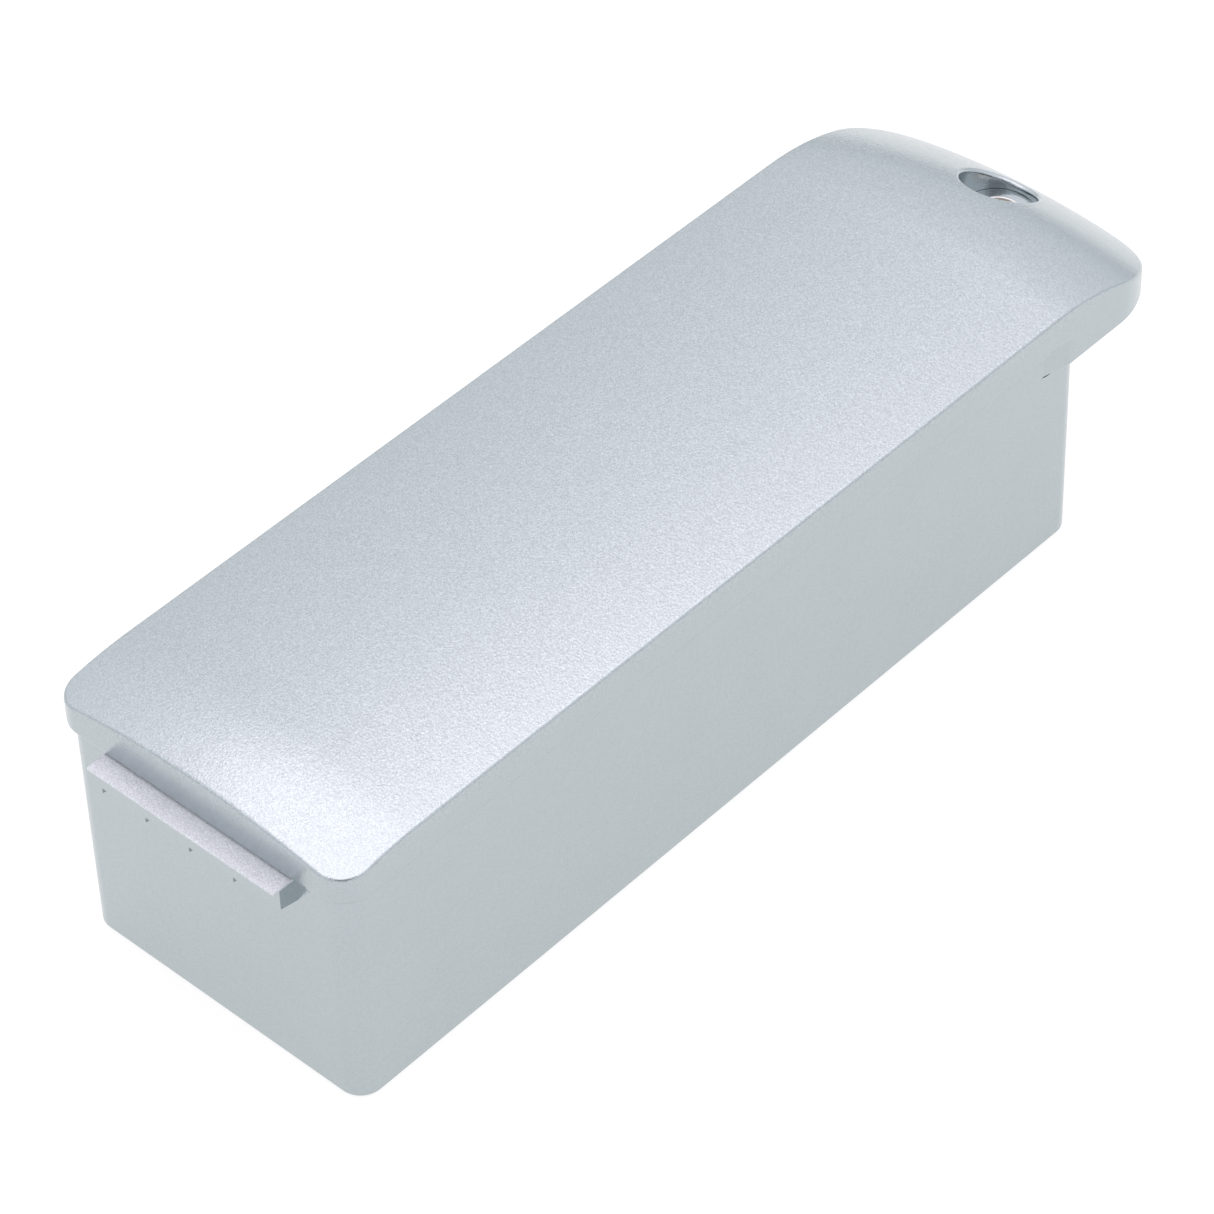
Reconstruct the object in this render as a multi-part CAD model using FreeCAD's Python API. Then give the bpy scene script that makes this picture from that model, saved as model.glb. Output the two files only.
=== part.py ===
"""Rechargeable battery pack: painted tub and crowned cover around eight round cells.

Frame: millimetres, +Z up.  The origin is the middle of the pack's footprint box, on
the plane the tub stands on.  +X points to the nose, the end with the fixing screw.
"""
import FreeCAD, Part
import math
import os

from FreeCAD import Vector

# ---------------------------------------------------------------- driving sizes
TUB_LENGTH = 140.0
TUB_WIDTH = 48.4
TUB_CORNER = 3.3
TUB_WALL = 1.8
PARTING_HEIGHT = 35.7        # underside of the cover's rim
RIM_REACH = 1.05             # how far the rim stands out from the tub's wall
CROWN_HEIGHT = 43.9          # highest line of the cover
CROWN_RADIUS = 114.0         # across the width
TAIL_ROLL_START = 12.4       # from the tub's tail end, where the cover starts to fall
TAIL_ROLL_RADIUS = 57.0
NOSE_ROLL_START = 133.6      # from the tub's tail end, where the nose starts to fall
NOSE_ROLL_RADIUS = 38.7
NOSE_REACH = 160.4           # from the tub's tail end to the tip of the nose
NOSE_BOW = 0.7               # how far the tip bulges over the half width
NOSE_CORNER = 13.0
NOSE_UNDERSIDE = 31.4
NOSE_SKIRT_START = 136.4
FLARE_START = 131.9          # where the skirt starts to flare out from the tub's wall
FLARE_EDGE = 0.65            # inset of the flare's thin end
COVER_WALL = 2.0
COVER_ROOF = 1.9
CREASE_ROUND = 0.6           # where the roof turns down into the sides
RIM_ROUND = 0.65
LAP_GAP = 0.1                # sliding clearance in the lap joint
LIP_THICKNESS = 0.75
LIP_HEIGHT = 2.5
TONGUE_REACH = 3.9
TONGUE_TOP = 35.6            # just under the cover's rim
TONGUE_THICKNESS = 0.45
TONGUE_ROOT = 0.4            # how far the tongue's pieces run into the tub's wall
TONGUE_BAR_REACH = 2.95
TONGUE_BAR_FOOT = 32.0       # lower front edge of the bar; it falls towards the wall
TONGUE_RIB_REACH = 2.75
TONGUE_RIB_FOOT = 30.75
TONGUE_RIB_PITCH = 7.6
TONGUE_RIB_THICKNESS = 0.95
TONGUE_RIBS = 4
TONGUE_SLOPE_DEG = 12.0      # slope of the undersides of the bar and the ribs
TONGUE_HALF_WIDTH = 16.1
SCREW_PLACE = 152.0          # screw axis, from the tub's tail end
SCREW_CLEARANCE = 6.2
COUNTERBORE = 10.8
COUNTERBORE_FLOOR = 34.2
MOUTH_ROUND = 0.5
BOSS_WALL = 1.6
SEAT_GAP = 0.05              # between the nose plate and the pocket over it
PLATE_INSET = 2.6            # the nose plate's edge, from the cover's outline
PLATE_SKIN = 1.1             # from the roof down to the nose plate
POCKET_INSET = 2.5
POCKET_SKIN = 1.0
SLEEVE_OUTSIDE = 7.0
SLEEVE_STAND = 0.25          # the sleeve stands above the nose plate
SLEEVE_EASING = 0.12
FLOOR_RIB_THICKNESS = 1.2
FLOOR_RIB_HEIGHT = 0.7
CELL_DIAMETER = 18.4
CELL_LENGTH = 65.0
CELL_PITCH_ACROSS = 19.5
CELL_PITCH_UP = 18.9
CELL_FLOOR_GAP = 0.9
WRAP = 0.1
CAN_WALL = 0.3
CAN_LENGTH = 64.1
CAP_THICKNESS = 1.2
CAP_SEAT = 1.4               # from the can's open end down to the cap
BUTTON_RADIUS = 3.0
BRACKET_FLOOR = 0.6
BRACKET_DEPTH = 5.6
BRACKET_TOP = 38.4
NOTCH_LOW = 14.0             # passage for the leads through a bracket's side
NOTCH_HIGH = 28.0
NOTCH_DEPTH = 3.4
NICKEL = 0.15
SHEET = 0.3

# ---------------------------------------------------------------- derived places
TAIL = TONGUE_REACH - (TONGUE_REACH + NOSE_REACH) / 2   # x of the tub's tail end
HEAD = TAIL + TUB_LENGTH
HALF_RIM = TUB_WIDTH / 2 + RIM_REACH
HALF_CAVITY = TUB_WIDTH / 2 - TUB_WALL
SCREW_X = TAIL + SCREW_PLACE
CELL_RADIUS = CELL_DIAMETER / 2
LOW_CELL = TUB_WALL + CELL_FLOOR_GAP + CELL_RADIUS
HIGH_CELL = LOW_CELL + CELL_PITCH_UP
STACK_START = TAIL + TUB_WALL + 0.2
BANK_STEP = CELL_LENGTH + 2 * BRACKET_FLOOR + 2 * NICKEL + SHEET
BANK_1 = STACK_START + SHEET + NICKEL + BRACKET_FLOOR
BANK_2 = BANK_1 + BANK_STEP
FAR_PLATE = BANK_2 + CELL_LENGTH + BRACKET_FLOOR
FAR_SHEET = FAR_PLATE + NICKEL
BOARD_START = BANK_2 + 6.6
BOARD_LENGTH = 52.0
BOARD_FACE = 20.6
BOARD_THICKNESS = 1.0
BOARD_LOW = 13.0
BOARD_HIGH = 29.0
BLOCK_FLANGE = 0.8
CONTACT_PITCH = 6.2
CONTACT_DEPTH = 0.9          # contact faces behind the tub's end wall
CONTACT_THICKNESS = 0.4
CONTACT_HALF_WIDTH = 2.1
CONTACT_HALF_HEIGHT = 3.0
BLOCK_HEIGHT = 20.0          # middle of the contact block above the base
WINDOW_HALF_WIDTH = 13.0
WINDOW_HALF_HEIGHT = 5.0
LEAD_RADIUS = 0.7
LEAD_BEND = 1.5
SENSE_LEAD_RADIUS = 0.4
OUTPUT_LEAD_X = FAR_SHEET + SHEET + LEAD_RADIUS + 0.05
LINK_TAB_END = 17.0
TOP_OF_ALL = 60.0
FAR_SIDE = 40.0              # beyond either side of the pack


# ---------------------------------------------------------------- small helpers
def box(x0, x1, y0, y1, z0, z1):
    """A block between two opposite corners."""
    return Part.makeBox(x1 - x0, y1 - y0, z1 - z0, Vector(x0, y0, z0))


def rod(radius, start, direction, length):
    """A round bar from a point along a direction."""
    return Part.makeCylinder(radius, length, start, direction)


def prism(outline, z0, z1):
    """A flat outline drawn at z = 0, raised between two heights."""
    face = Part.Face(outline)
    solid = face.extrude(Vector(0, 0, z1 - z0))
    solid.translate(Vector(0, 0, z0))
    return solid


def rounded_block(x0, x1, y0, y1, z0, z1, radius):
    """A block with its four upright edges rounded."""
    solid = box(x0, x1, y0, y1, z0, z1)
    upright = [edge for edge in solid.Edges if abs(edge.BoundBox.ZLength - (z1 - z0)) < 1e-6]
    return solid.makeFillet(radius, upright)


def joined(shapes):
    """One solid from several that touch or overlap."""
    first = shapes[0]
    return first.fuse(shapes[1:]).removeSplitter()


def drilled(shape, tools):
    """A shape with every tool taken out of it."""
    for tool in tools:
        shape = shape.cut(tool)
    return shape


def polygon_bar(points, y0, y1):
    """A bar along Y from (x, z) corners of its side view."""
    corners = [Vector(x, y0, z) for x, z in points]
    face = Part.Face(Part.makePolygon(corners + corners[:1]))
    return face.extrude(Vector(0, y1 - y0, 0))


def save(name, shapes):
    """Write one node; several solids go in as a group."""
    solids = []
    for shape in shapes:
        solids.extend(shape.Solids)
    node = solids[0] if len(solids) == 1 else Part.makeCompound(solids)
    node.exportStep(os.path.join("parts", name + ".step"))
    state = "ok" if all(solid.isValid() for solid in solids) else "INVALID"
    print(name, len(solids), round(node.Volume, 2), state)


# ---------------------------------------------------------------- outer form
def plan_outline(inset):
    """The cover's outline seen from above, moved inwards by an inset."""
    half = HALF_RIM - inset
    back = TAIL - RIM_REACH + inset
    near = TUB_CORNER + RIM_REACH - inset
    bow_radius = (HALF_RIM ** 2 + NOSE_BOW ** 2) / (2 * NOSE_BOW)
    bow_centre = TAIL + NOSE_REACH - bow_radius
    end_radius = bow_radius - inset
    corner = NOSE_CORNER - inset
    corner_y = HALF_RIM - NOSE_CORNER
    corner_x = bow_centre + math.sqrt((bow_radius - NOSE_CORNER) ** 2 - corner_y ** 2)
    turn = math.atan2(corner_y, corner_x - bow_centre)
    meet = Vector(bow_centre + end_radius * math.cos(turn), end_radius * math.sin(turn), 0)
    bend = (turn + math.pi / 2) / 2
    bulge = Vector(corner_x + corner * math.cos(bend), corner_y + corner * math.sin(bend), 0)
    tip = Vector(bow_centre + end_radius, 0, 0)
    side = Vector(corner_x, half, 0)
    tail_side = Vector(back + near, half, 0)
    tail_end = Vector(back, half - near, 0)
    slant = near * (1 - math.sqrt(0.5))
    tail_mid = Vector(back + slant, half - slant, 0)

    def low(point):
        return Vector(point.x, -point.y, 0)

    return Part.Wire([
        Part.Arc(low(meet), tip, meet).toShape(),
        Part.Arc(meet, bulge, side).toShape(),
        Part.LineSegment(side, tail_side).toShape(),
        Part.Arc(tail_side, tail_mid, tail_end).toShape(),
        Part.LineSegment(tail_end, low(tail_end)).toShape(),
        Part.Arc(low(tail_end), low(tail_mid), low(tail_side)).toShape(),
        Part.LineSegment(low(tail_side), low(side)).toShape(),
        Part.Arc(low(side), low(bulge), low(meet)).toShape(),
    ])


def roof_fall(x):
    """How far the cover's ridge has fallen at x, and the slope there."""
    along = x - TAIL
    if along < TAIL_ROLL_START:
        run = TAIL_ROLL_START - along
        radius = TAIL_ROLL_RADIUS
    else:
        run = max(along - NOSE_ROLL_START, 0.0)
        radius = NOSE_ROLL_RADIUS
    rise = math.sqrt(radius ** 2 - run ** 2)
    return radius - rise, run / rise


def under_roof(depth):
    """Everything below the crowned roof, lowered by a thickness."""
    x_first = TAIL - 3.0
    x_last = TAIL + NOSE_REACH + 2.0
    columns = 54
    rows = 13
    half = HALF_RIM + 2.0
    grid = []
    for i in range(columns):
        x = x_first + (x_last - x_first) * i / (columns - 1)
        fall, slope = roof_fall(x)
        line = []
        for j in range(rows):
            y = -half + 2 * half * j / (rows - 1)
            crown = CROWN_RADIUS - math.sqrt(CROWN_RADIUS ** 2 - y ** 2)
            drop = depth * math.sqrt(1 + slope ** 2)
            line.append(Vector(x, y, CROWN_HEIGHT - crown - fall - drop))
        grid.append(line)
    surface = Part.BSplineSurface()
    surface.interpolate(grid)
    return surface.toShape().extrude(Vector(0, 0, -TOP_OF_ALL))


# ---------------------------------------------------------------- housing
def crease_edges(shape):
    """The edges where the roof turns down into the upright sides."""
    found = []
    for edge in shape.Edges:
        box_ = edge.BoundBox
        if box_.ZMin > NOSE_UNDERSIDE + 0.4 and box_.ZMax > PARTING_HEIGHT + 1 and edge.Length > 3:
            faces = shape.ancestorsOfType(edge, Part.Face)
            kinds = [face.Surface.TypeId for face in faces]
            if sum("BSpline" in kind for kind in kinds) == 1:
                found.append(edge)
    return found


def cover_blank():
    """The solid outside of the cover: rim, crown and nose, with its edges eased."""
    rim = prism(plan_outline(0), PARTING_HEIGHT, TOP_OF_ALL)
    skirt = prism(plan_outline(0), NOSE_UNDERSIDE, PARTING_HEIGHT)
    skirt = skirt.common(box(TAIL + NOSE_SKIRT_START, TOP_OF_ALL * 2, -FAR_SIDE, FAR_SIDE, 0, TOP_OF_ALL))
    whole = joined([rim, skirt]).common(under_roof(0))
    whole = whole.makeFillet(CREASE_ROUND, crease_edges(whole))
    lower = []
    for edge in whole.Edges:
        span = edge.BoundBox
        flat = span.ZLength < 1e-4 and abs(span.ZMin - PARTING_HEIGHT) < 1e-3
        if flat and span.XMin < TAIL + NOSE_SKIRT_START - 0.5:
            lower.append(edge)
    return joined([whole.makeFillet(RIM_ROUND, lower), skirt_flare(1), skirt_flare(-1)])


def skirt_flare(side):
    """The wedge that brings the nose skirt out gently from the tub's wall; side is +1 or -1."""
    x0 = TAIL + FLARE_START
    x1 = TAIL + NOSE_SKIRT_START + 0.1
    inner = TUB_WIDTH / 2 + LAP_GAP / 2
    corners = [(x0, inner), (x0, HALF_RIM - FLARE_EDGE), (x1, HALF_RIM), (x1, inner)]
    points = [Vector(x, side * y, 0) for x, y in corners]
    into_rim = PARTING_HEIGHT + RIM_ROUND + 0.15
    return prism(Part.makePolygon(points + points[:1]), NOSE_UNDERSIDE, into_rim)


def screw_boss():
    """The tube round the fixing screw, from the tub's flange up to the roof."""
    radius = COUNTERBORE / 2 + BOSS_WALL
    height = TOP_OF_ALL - COUNTERBORE_FLOOR
    tube = rod(radius, Vector(SCREW_X, 0, COUNTERBORE_FLOOR + SEAT_GAP), Vector(0, 0, 1), height)
    return tube.common(under_roof(0.5))


def flange_plate(inset, depth, top, bottom):
    """The plate of the nose, shared by the tub and by the pocket that takes it."""
    plate = prism(plan_outline(inset), bottom, top)
    plate = plate.common(box(HEAD - TUB_WALL, TOP_OF_ALL * 2, -FAR_SIDE, FAR_SIDE, 0, TOP_OF_ALL))
    return plate.common(under_roof(depth))


def cover():
    """The upper shell: crowned roof, rim, nose skirt and screw boss."""
    blank = cover_blank()
    hollow = prism(plan_outline(COVER_WALL), NOSE_UNDERSIDE - 1, TOP_OF_ALL)
    keep = box(HEAD - TUB_WALL, TOP_OF_ALL * 2, -FAR_SIDE, FAR_SIDE, 0, COUNTERBORE_FLOOR + SEAT_GAP)
    hollow = hollow.common(under_roof(COVER_ROOF)).cut(keep)
    hollow = hollow.cut(screw_boss())
    pocket = flange_plate(POCKET_INSET, POCKET_SKIN, COUNTERBORE_FLOOR + SEAT_GAP, NOSE_UNDERSIDE - 1)
    shell = drilled(blank, [hollow, pocket, tub_body_clearance()])
    bore = rod(COUNTERBORE / 2, Vector(SCREW_X, 0, 0), Vector(0, 0, 1), TOP_OF_ALL)
    shell = shell.cut(bore)
    mouth = []
    for edge in shell.Edges:
        span = edge.BoundBox
        wide = abs(span.XLength - COUNTERBORE) < 0.2 and abs(span.YLength - COUNTERBORE) < 0.2
        if wide and span.ZLength > 1:
            mouth.append(edge)
    return shell.makeFillet(MOUTH_ROUND, mouth)


def tub_body_clearance():
    """Room for the tub's walls below the parting plane, with the lap gap round them."""
    half = TUB_WIDTH / 2 + LAP_GAP
    x0 = TAIL - LAP_GAP
    x1 = HEAD + LAP_GAP
    return rounded_block(x0, x1, -half, half, 0, PARTING_HEIGHT, TUB_CORNER + LAP_GAP)


def tongue_section(reach, foot, top):
    """Corners of a bar on the tail wall, with an underside that falls towards the wall."""
    front = TAIL - reach
    wall = TAIL + TONGUE_ROOT
    fall = math.tan(math.radians(TONGUE_SLOPE_DEG)) * (wall - front)
    return [(front, foot), (wall, foot - fall), (wall, top), (front, top)]


def tongue():
    """The hook on the tail end: a thin plate over a bar with sloping ribs below it."""
    half = TONGUE_HALF_WIDTH
    plate_foot = TONGUE_TOP - TONGUE_THICKNESS
    plate = box(TAIL - TONGUE_REACH, TAIL + TONGUE_ROOT, -half, half, plate_foot, TONGUE_TOP)
    in_plate = TONGUE_TOP - TONGUE_THICKNESS / 2
    bar = tongue_section(TONGUE_BAR_REACH, TONGUE_BAR_FOOT, in_plate)
    pieces = [plate, polygon_bar(bar, -half, half)]
    rib = tongue_section(TONGUE_RIB_REACH, TONGUE_RIB_FOOT, in_plate)
    for step in range(TONGUE_RIBS):
        side = half - TONGUE_RIB_THICKNESS - step * TONGUE_RIB_PITCH
        pieces.append(polygon_bar(rib, side, side + TONGUE_RIB_THICKNESS))
    return pieces


def contact_window():
    """The opening for the contact block in the tub's nose-end wall."""
    low = BLOCK_HEIGHT - WINDOW_HALF_HEIGHT
    high = BLOCK_HEIGHT + WINDOW_HALF_HEIGHT
    return box(HEAD - TUB_WALL - 1, HEAD + 1, -WINDOW_HALF_WIDTH, WINDOW_HALF_WIDTH, low, high)


def tub():
    """The lower shell with its lap lip, tongue, nose flange and cell ribs."""
    half = TUB_WIDTH / 2
    outside = rounded_block(TAIL, HEAD, -half, half, 0, PARTING_HEIGHT, TUB_CORNER)
    inner_corner = TUB_CORNER - TUB_WALL
    cavity = rounded_block(TAIL + TUB_WALL, HEAD - TUB_WALL, -HALF_CAVITY, HALF_CAVITY,
                           TUB_WALL, TOP_OF_ALL, inner_corner)
    lip_inset = RIM_REACH + TUB_WALL - LIP_THICKNESS
    lip = prism(plan_outline(lip_inset), PARTING_HEIGHT, PARTING_HEIGHT + LIP_HEIGHT)
    lip = lip.common(box(TAIL - 5, HEAD - TUB_WALL, -FAR_SIDE, FAR_SIDE, 0, TOP_OF_ALL))
    flange = flange_plate(PLATE_INSET, PLATE_SKIN, COUNTERBORE_FLOOR, NOSE_UNDERSIDE)
    above = box(HEAD - TUB_WALL, HEAD + 5, -FAR_SIDE, FAR_SIDE, COUNTERBORE_FLOOR, TOP_OF_ALL)
    shell = joined([outside.cut(above), lip, flange] + tongue()).cut(cavity)
    ribs = []
    for share in (0.25, 0.5, 0.75):
        x0 = TAIL + TUB_LENGTH * share - FLOOR_RIB_THICKNESS / 2
        ribs.append(box(x0, x0 + FLOOR_RIB_THICKNESS, -HALF_CAVITY, HALF_CAVITY,
                        TUB_WALL / 2, TUB_WALL + FLOOR_RIB_HEIGHT))
    shell = joined([shell] + ribs)
    seat = rod(SLEEVE_OUTSIDE / 2, Vector(SCREW_X, 0, 0), Vector(0, 0, 1), TOP_OF_ALL)
    return drilled(shell, [seat, contact_window()])


def screw_sleeve():
    """The pressed-in metal sleeve that takes the screw's clamping force."""
    length = COUNTERBORE_FLOOR + SLEEVE_STAND - NOSE_UNDERSIDE
    base = Vector(SCREW_X, 0, NOSE_UNDERSIDE)
    tube = rod(SLEEVE_OUTSIDE / 2, base, Vector(0, 0, 1), length)
    tube = tube.cut(rod(SCREW_CLEARANCE / 2, base, Vector(0, 0, 1), length))
    lips = [edge for edge in tube.Edges if edge.BoundBox.ZLength < 1e-6]
    return tube.makeChamfer(SLEEVE_EASING, lips)


# ---------------------------------------------------------------- cells
def cell_places():
    """Tail-end x, y, z and pole direction of each of the eight cells."""
    places = []
    for bank in (BANK_1, BANK_2):
        for y in (-CELL_PITCH_ACROSS / 2, CELL_PITCH_ACROSS / 2):
            places.append((bank, y, LOW_CELL, -1))
            places.append((bank, y, HIGH_CELL, 1))
    return places


def cell_pieces(start, y, z, pole):
    """One cell: steel can, wound roll, button cap, insulating ring and wrap."""
    can_radius = CELL_RADIUS - WRAP
    inside = can_radius - CAN_WALL
    axis = Vector(pole, 0, 0)
    foot = Vector(start if pole > 0 else start + CELL_LENGTH, y, z)

    def at(distance):
        return foot + axis * distance

    can = rod(can_radius, at(WRAP), axis, CAN_LENGTH)
    can = can.cut(rod(inside, at(WRAP + CAN_WALL), axis, CAN_LENGTH))
    roll = rod(inside - 0.05, at(0.6), axis, CAN_LENGTH - 4.0)
    cap = rod(inside, at(CAN_LENGTH - CAP_SEAT), axis, CAP_THICKNESS)
    button_start = CAN_LENGTH - CAP_SEAT + CAP_THICKNESS - 0.2
    cap = joined([cap, rod(BUTTON_RADIUS, at(button_start), axis, CELL_LENGTH - button_start)])
    ring = rod(can_radius - 0.2, at(CAN_LENGTH + WRAP), axis, 0.25)
    ring = ring.cut(rod(BUTTON_RADIUS + 0.6, at(CAN_LENGTH), axis, 1.0))
    wrap = rod(CELL_RADIUS, at(0), axis, CELL_LENGTH - 0.4)
    wrap = wrap.cut(rod(can_radius, at(WRAP), axis, CELL_LENGTH))
    wrap = wrap.cut(rod(can_radius - 1.5, at(-0.5), axis, 2.0))
    return can, roll, cap, ring, wrap


def cell_bracket(x, inward):
    """A moulded end bracket with four pockets; inward is +1 or -1 along X."""
    far = x + inward * BRACKET_DEPTH
    x0 = min(x, far)
    x1 = max(x, far)
    half = HALF_CAVITY - 0.2
    body = rounded_block(x0, x1, -half, half, TUB_WALL + 0.8, BRACKET_TOP, 1.6)
    axis = Vector(inward, 0, 0)
    tools = []
    for y in (-CELL_PITCH_ACROSS / 2, CELL_PITCH_ACROSS / 2):
        for z in (LOW_CELL, HIGH_CELL):
            tools.append(rod(CELL_RADIUS + 0.05, Vector(x + inward * BRACKET_FLOOR, y, z), axis, 10))
            tools.append(rod(6.0, Vector(x - inward, y, z), axis, 4))
    tools.append(box(x0 - 1, x1 + 1, half - NOTCH_DEPTH, half + 1, NOTCH_LOW, NOTCH_HIGH))
    return drilled(body, tools)


# ---------------------------------------------------------------- links and sheets
def nickel_plate(x, z0, z1):
    """A flat nickel link across two columns of cells, facing X."""
    half = CELL_PITCH_ACROSS / 2 + 4.0
    return rounded_block_x(x, x + NICKEL, half, z0, z1, 1.5)


def rounded_block_x(x0, x1, half, z0, z1, radius):
    """A plate across Y with the four corners of its face rounded."""
    plate = box(x0, x1, -half, half, z0, z1)
    corners = [edge for edge in plate.Edges if edge.BoundBox.XLength > (x1 - x0) * 0.9]
    return plate.makeFillet(radius, corners)


def nose_link(z0, z1, tab_z):
    """A nose-end link with a side tab that its lead is soldered to."""
    plate = nickel_plate(FAR_PLATE, z0, z1)
    tab = box(FAR_PLATE, FAR_PLATE + NICKEL, 0, LINK_TAB_END, tab_z - 1.2, tab_z + 1.2)
    return joined([plate, tab])


def middle_link(z0, z1, fold_above):
    """The folded link between the banks: two legs and a fold past the sheet's edge."""
    first = BANK_1 + CELL_LENGTH + BRACKET_FLOOR
    second = first + NICKEL + SHEET
    half = CELL_PITCH_ACROSS / 2 + 4.0
    legs = [box(first, first + NICKEL, -half, half, z0, z1)]
    legs.append(box(second, second + NICKEL, -half, half, z0, z1))
    fold_z = z1 - NICKEL if fold_above else z0
    legs.append(box(first, second + NICKEL, -half, half, fold_z, fold_z + NICKEL))
    return joined(legs)


def insulating_sheet(x):
    """A fibre sheet between a bank's links and what is next to them."""
    return rounded_block_x(x, x + SHEET, CELL_PITCH_ACROSS / 2 + 4.6, 5.0, 36.5, 1.5)


# ---------------------------------------------------------------- electronics
def circuit_board():
    """The protection board, on edge beside the valley between the cell rows."""
    x1 = BOARD_START + BOARD_LENGTH
    board = box(BOARD_START, x1, BOARD_FACE, BOARD_FACE + BOARD_THICKNESS, BOARD_LOW, BOARD_HIGH)
    holes = []
    for x in (BOARD_START + 3, x1 - 3):
        holes.append(rod(1.1, Vector(x, BOARD_FACE - 1, BOARD_HIGH - 3), Vector(0, 1, 0), 4))
    return drilled(board, holes)


def board_chip(offset, z, length, height, thickness):
    """A part soldered on the board's inner face."""
    x = BOARD_START + offset
    return box(x, x + length, BOARD_FACE - thickness, BOARD_FACE, z, z + height)


def contact_block():
    """The moulded block that holds the contact blades in the tub's window."""
    inner = HEAD - TUB_WALL
    middle = BLOCK_HEIGHT
    plug_y = WINDOW_HALF_WIDTH - LAP_GAP
    plug_z = WINDOW_HALF_HEIGHT - LAP_GAP
    plug = box(inner, HEAD - 0.3, -plug_y, plug_y, middle - plug_z, middle + plug_z)
    edge_y = WINDOW_HALF_WIDTH + 1.5
    edge_z = WINDOW_HALF_HEIGHT + 1.5
    flange = box(inner - BLOCK_FLANGE, inner, -edge_y, edge_y, middle - edge_z, middle + edge_z)
    face = HEAD - CONTACT_DEPTH
    tools = []
    for place in contact_places():
        half = CONTACT_HALF_WIDTH
        tall = CONTACT_HALF_HEIGHT
        tools.append(box(inner - 2, face, place - half, place + half, middle - tall, middle + tall))
        half -= 0.2
        tall += 0.4
        tools.append(box(face - 0.01, HEAD, place - half, place + half, middle - tall, middle + tall))
    return drilled(joined([plug, flange]), tools)


def contact_places():
    """The Y places of the four contacts."""
    return [CONTACT_PITCH * (step - 1.5) for step in range(4)]


def contact_blade(y, tail_top):
    """A flat plated contact: a face behind the block's window and a solder tail."""
    face_x = HEAD - CONTACT_DEPTH
    back = face_x - CONTACT_THICKNESS
    half = CONTACT_HALF_WIDTH
    tall = CONTACT_HALF_HEIGHT
    face = box(back, face_x, y - half, y + half, BLOCK_HEIGHT - tall, BLOCK_HEIGHT + tall)
    tail_x = OUTPUT_LEAD_X + LEAD_RADIUS
    behind = HEAD - TUB_WALL - BLOCK_FLANGE
    foot = BLOCK_HEIGHT - tall / 2
    stub = box(tail_x, back, y - 0.7, y + 0.7, foot, BLOCK_HEIGHT + tall / 2)
    tail = box(tail_x, behind, y - 0.7, y + 0.7, foot, tail_top)
    return joined([face, stub, tail])


def lead(points, radius, bend):
    """A round wire along straight runs joined by tangent arcs."""
    edges = []
    start = points[0]
    for before, corner, after in zip(points, points[1:], points[2:]):
        into = (before - corner).normalize()
        out = (after - corner).normalize()
        half_turn = into.getAngle(out) / 2
        reach = bend / math.tan(half_turn)
        entry = corner + into * reach
        leave = corner + out * reach
        middle_way = (into + out).normalize()
        centre = corner + middle_way * (bend / math.sin(half_turn))
        edges.append(Part.LineSegment(start, entry).toShape())
        edges.append(Part.Arc(entry, centre - middle_way * bend, leave).toShape())
        start = leave
    edges.append(Part.LineSegment(start, points[-1]).toShape())
    heading = points[1] - points[0]
    section = Part.Wire([Part.makeCircle(radius, points[0], heading)])
    return Part.Wire(edges).makePipeShell([section], True, True)


def cell_lead(z_end, z_board):
    """A heavy lead from a nose-end link's tab round the bracket to the board."""
    tab_x = FAR_SHEET + LEAD_RADIUS
    board_end = BOARD_START + BOARD_LENGTH - 6
    inside = BOARD_FACE - LEAD_RADIUS - 0.05
    return lead([Vector(tab_x, LINK_TAB_END - 1.2, z_end), Vector(tab_x, inside, z_end),
                 Vector(tab_x, inside, z_board), Vector(board_end, inside, z_board)],
                LEAD_RADIUS, LEAD_BEND)


def output_lead(y_contact, z):
    """A heavy lead from the board to a contact's solder tail."""
    inside = BOARD_FACE - LEAD_RADIUS - 0.05
    board_end = BOARD_START + BOARD_LENGTH - 4
    return lead([Vector(board_end, inside, z), Vector(OUTPUT_LEAD_X, inside, z),
                 Vector(OUTPUT_LEAD_X, y_contact - 0.7, z)], LEAD_RADIUS, LEAD_BEND)


def sense_lead(start_x, z):
    """A thin lead from the board back to a link nearer the tail."""
    inside = BOARD_FACE - 0.5
    return lead([Vector(BOARD_START + 2, inside, z), Vector(start_x + 2, inside, z),
                 Vector(start_x, inside - 3, z)], SENSE_LEAD_RADIUS, LEAD_BEND)


def thermistor():
    """The temperature bead lying in the valley between the upper cells."""
    x = BANK_2 + 20
    z = HIGH_CELL + 4.2
    bead = Part.makeSphere(1.3, Vector(x, 0, z))
    return joined([bead, rod(0.45, Vector(x, 0, z), Vector(1, 0, 0), 22)])


def foam_pad(y):
    """A foam strip between the upper cells and the cover's roof."""
    length = CELL_LENGTH
    x0 = BANK_1 + CELL_LENGTH / 2
    crest = HIGH_CELL + CELL_RADIUS
    return box(x0, x0 + length, y - 3.5, y + 3.5, crest, crest + 1.1)


# ---------------------------------------------------------------- everything
def write_cells():
    """The eight cells, each piece in its own node, the rings as one group."""
    rings = []
    for number, place in enumerate(cell_places(), start=1):
        can, roll, cap, ring, wrap = cell_pieces(*place)
        save("cell_can_%d" % number, [can])
        save("cell_roll_%d" % number, [roll])
        save("cell_cap_%d" % number, [cap])
        save("cell_wrap_%d" % number, [wrap])
        rings.append(ring)
    save("insulating_rings", rings)


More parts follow.
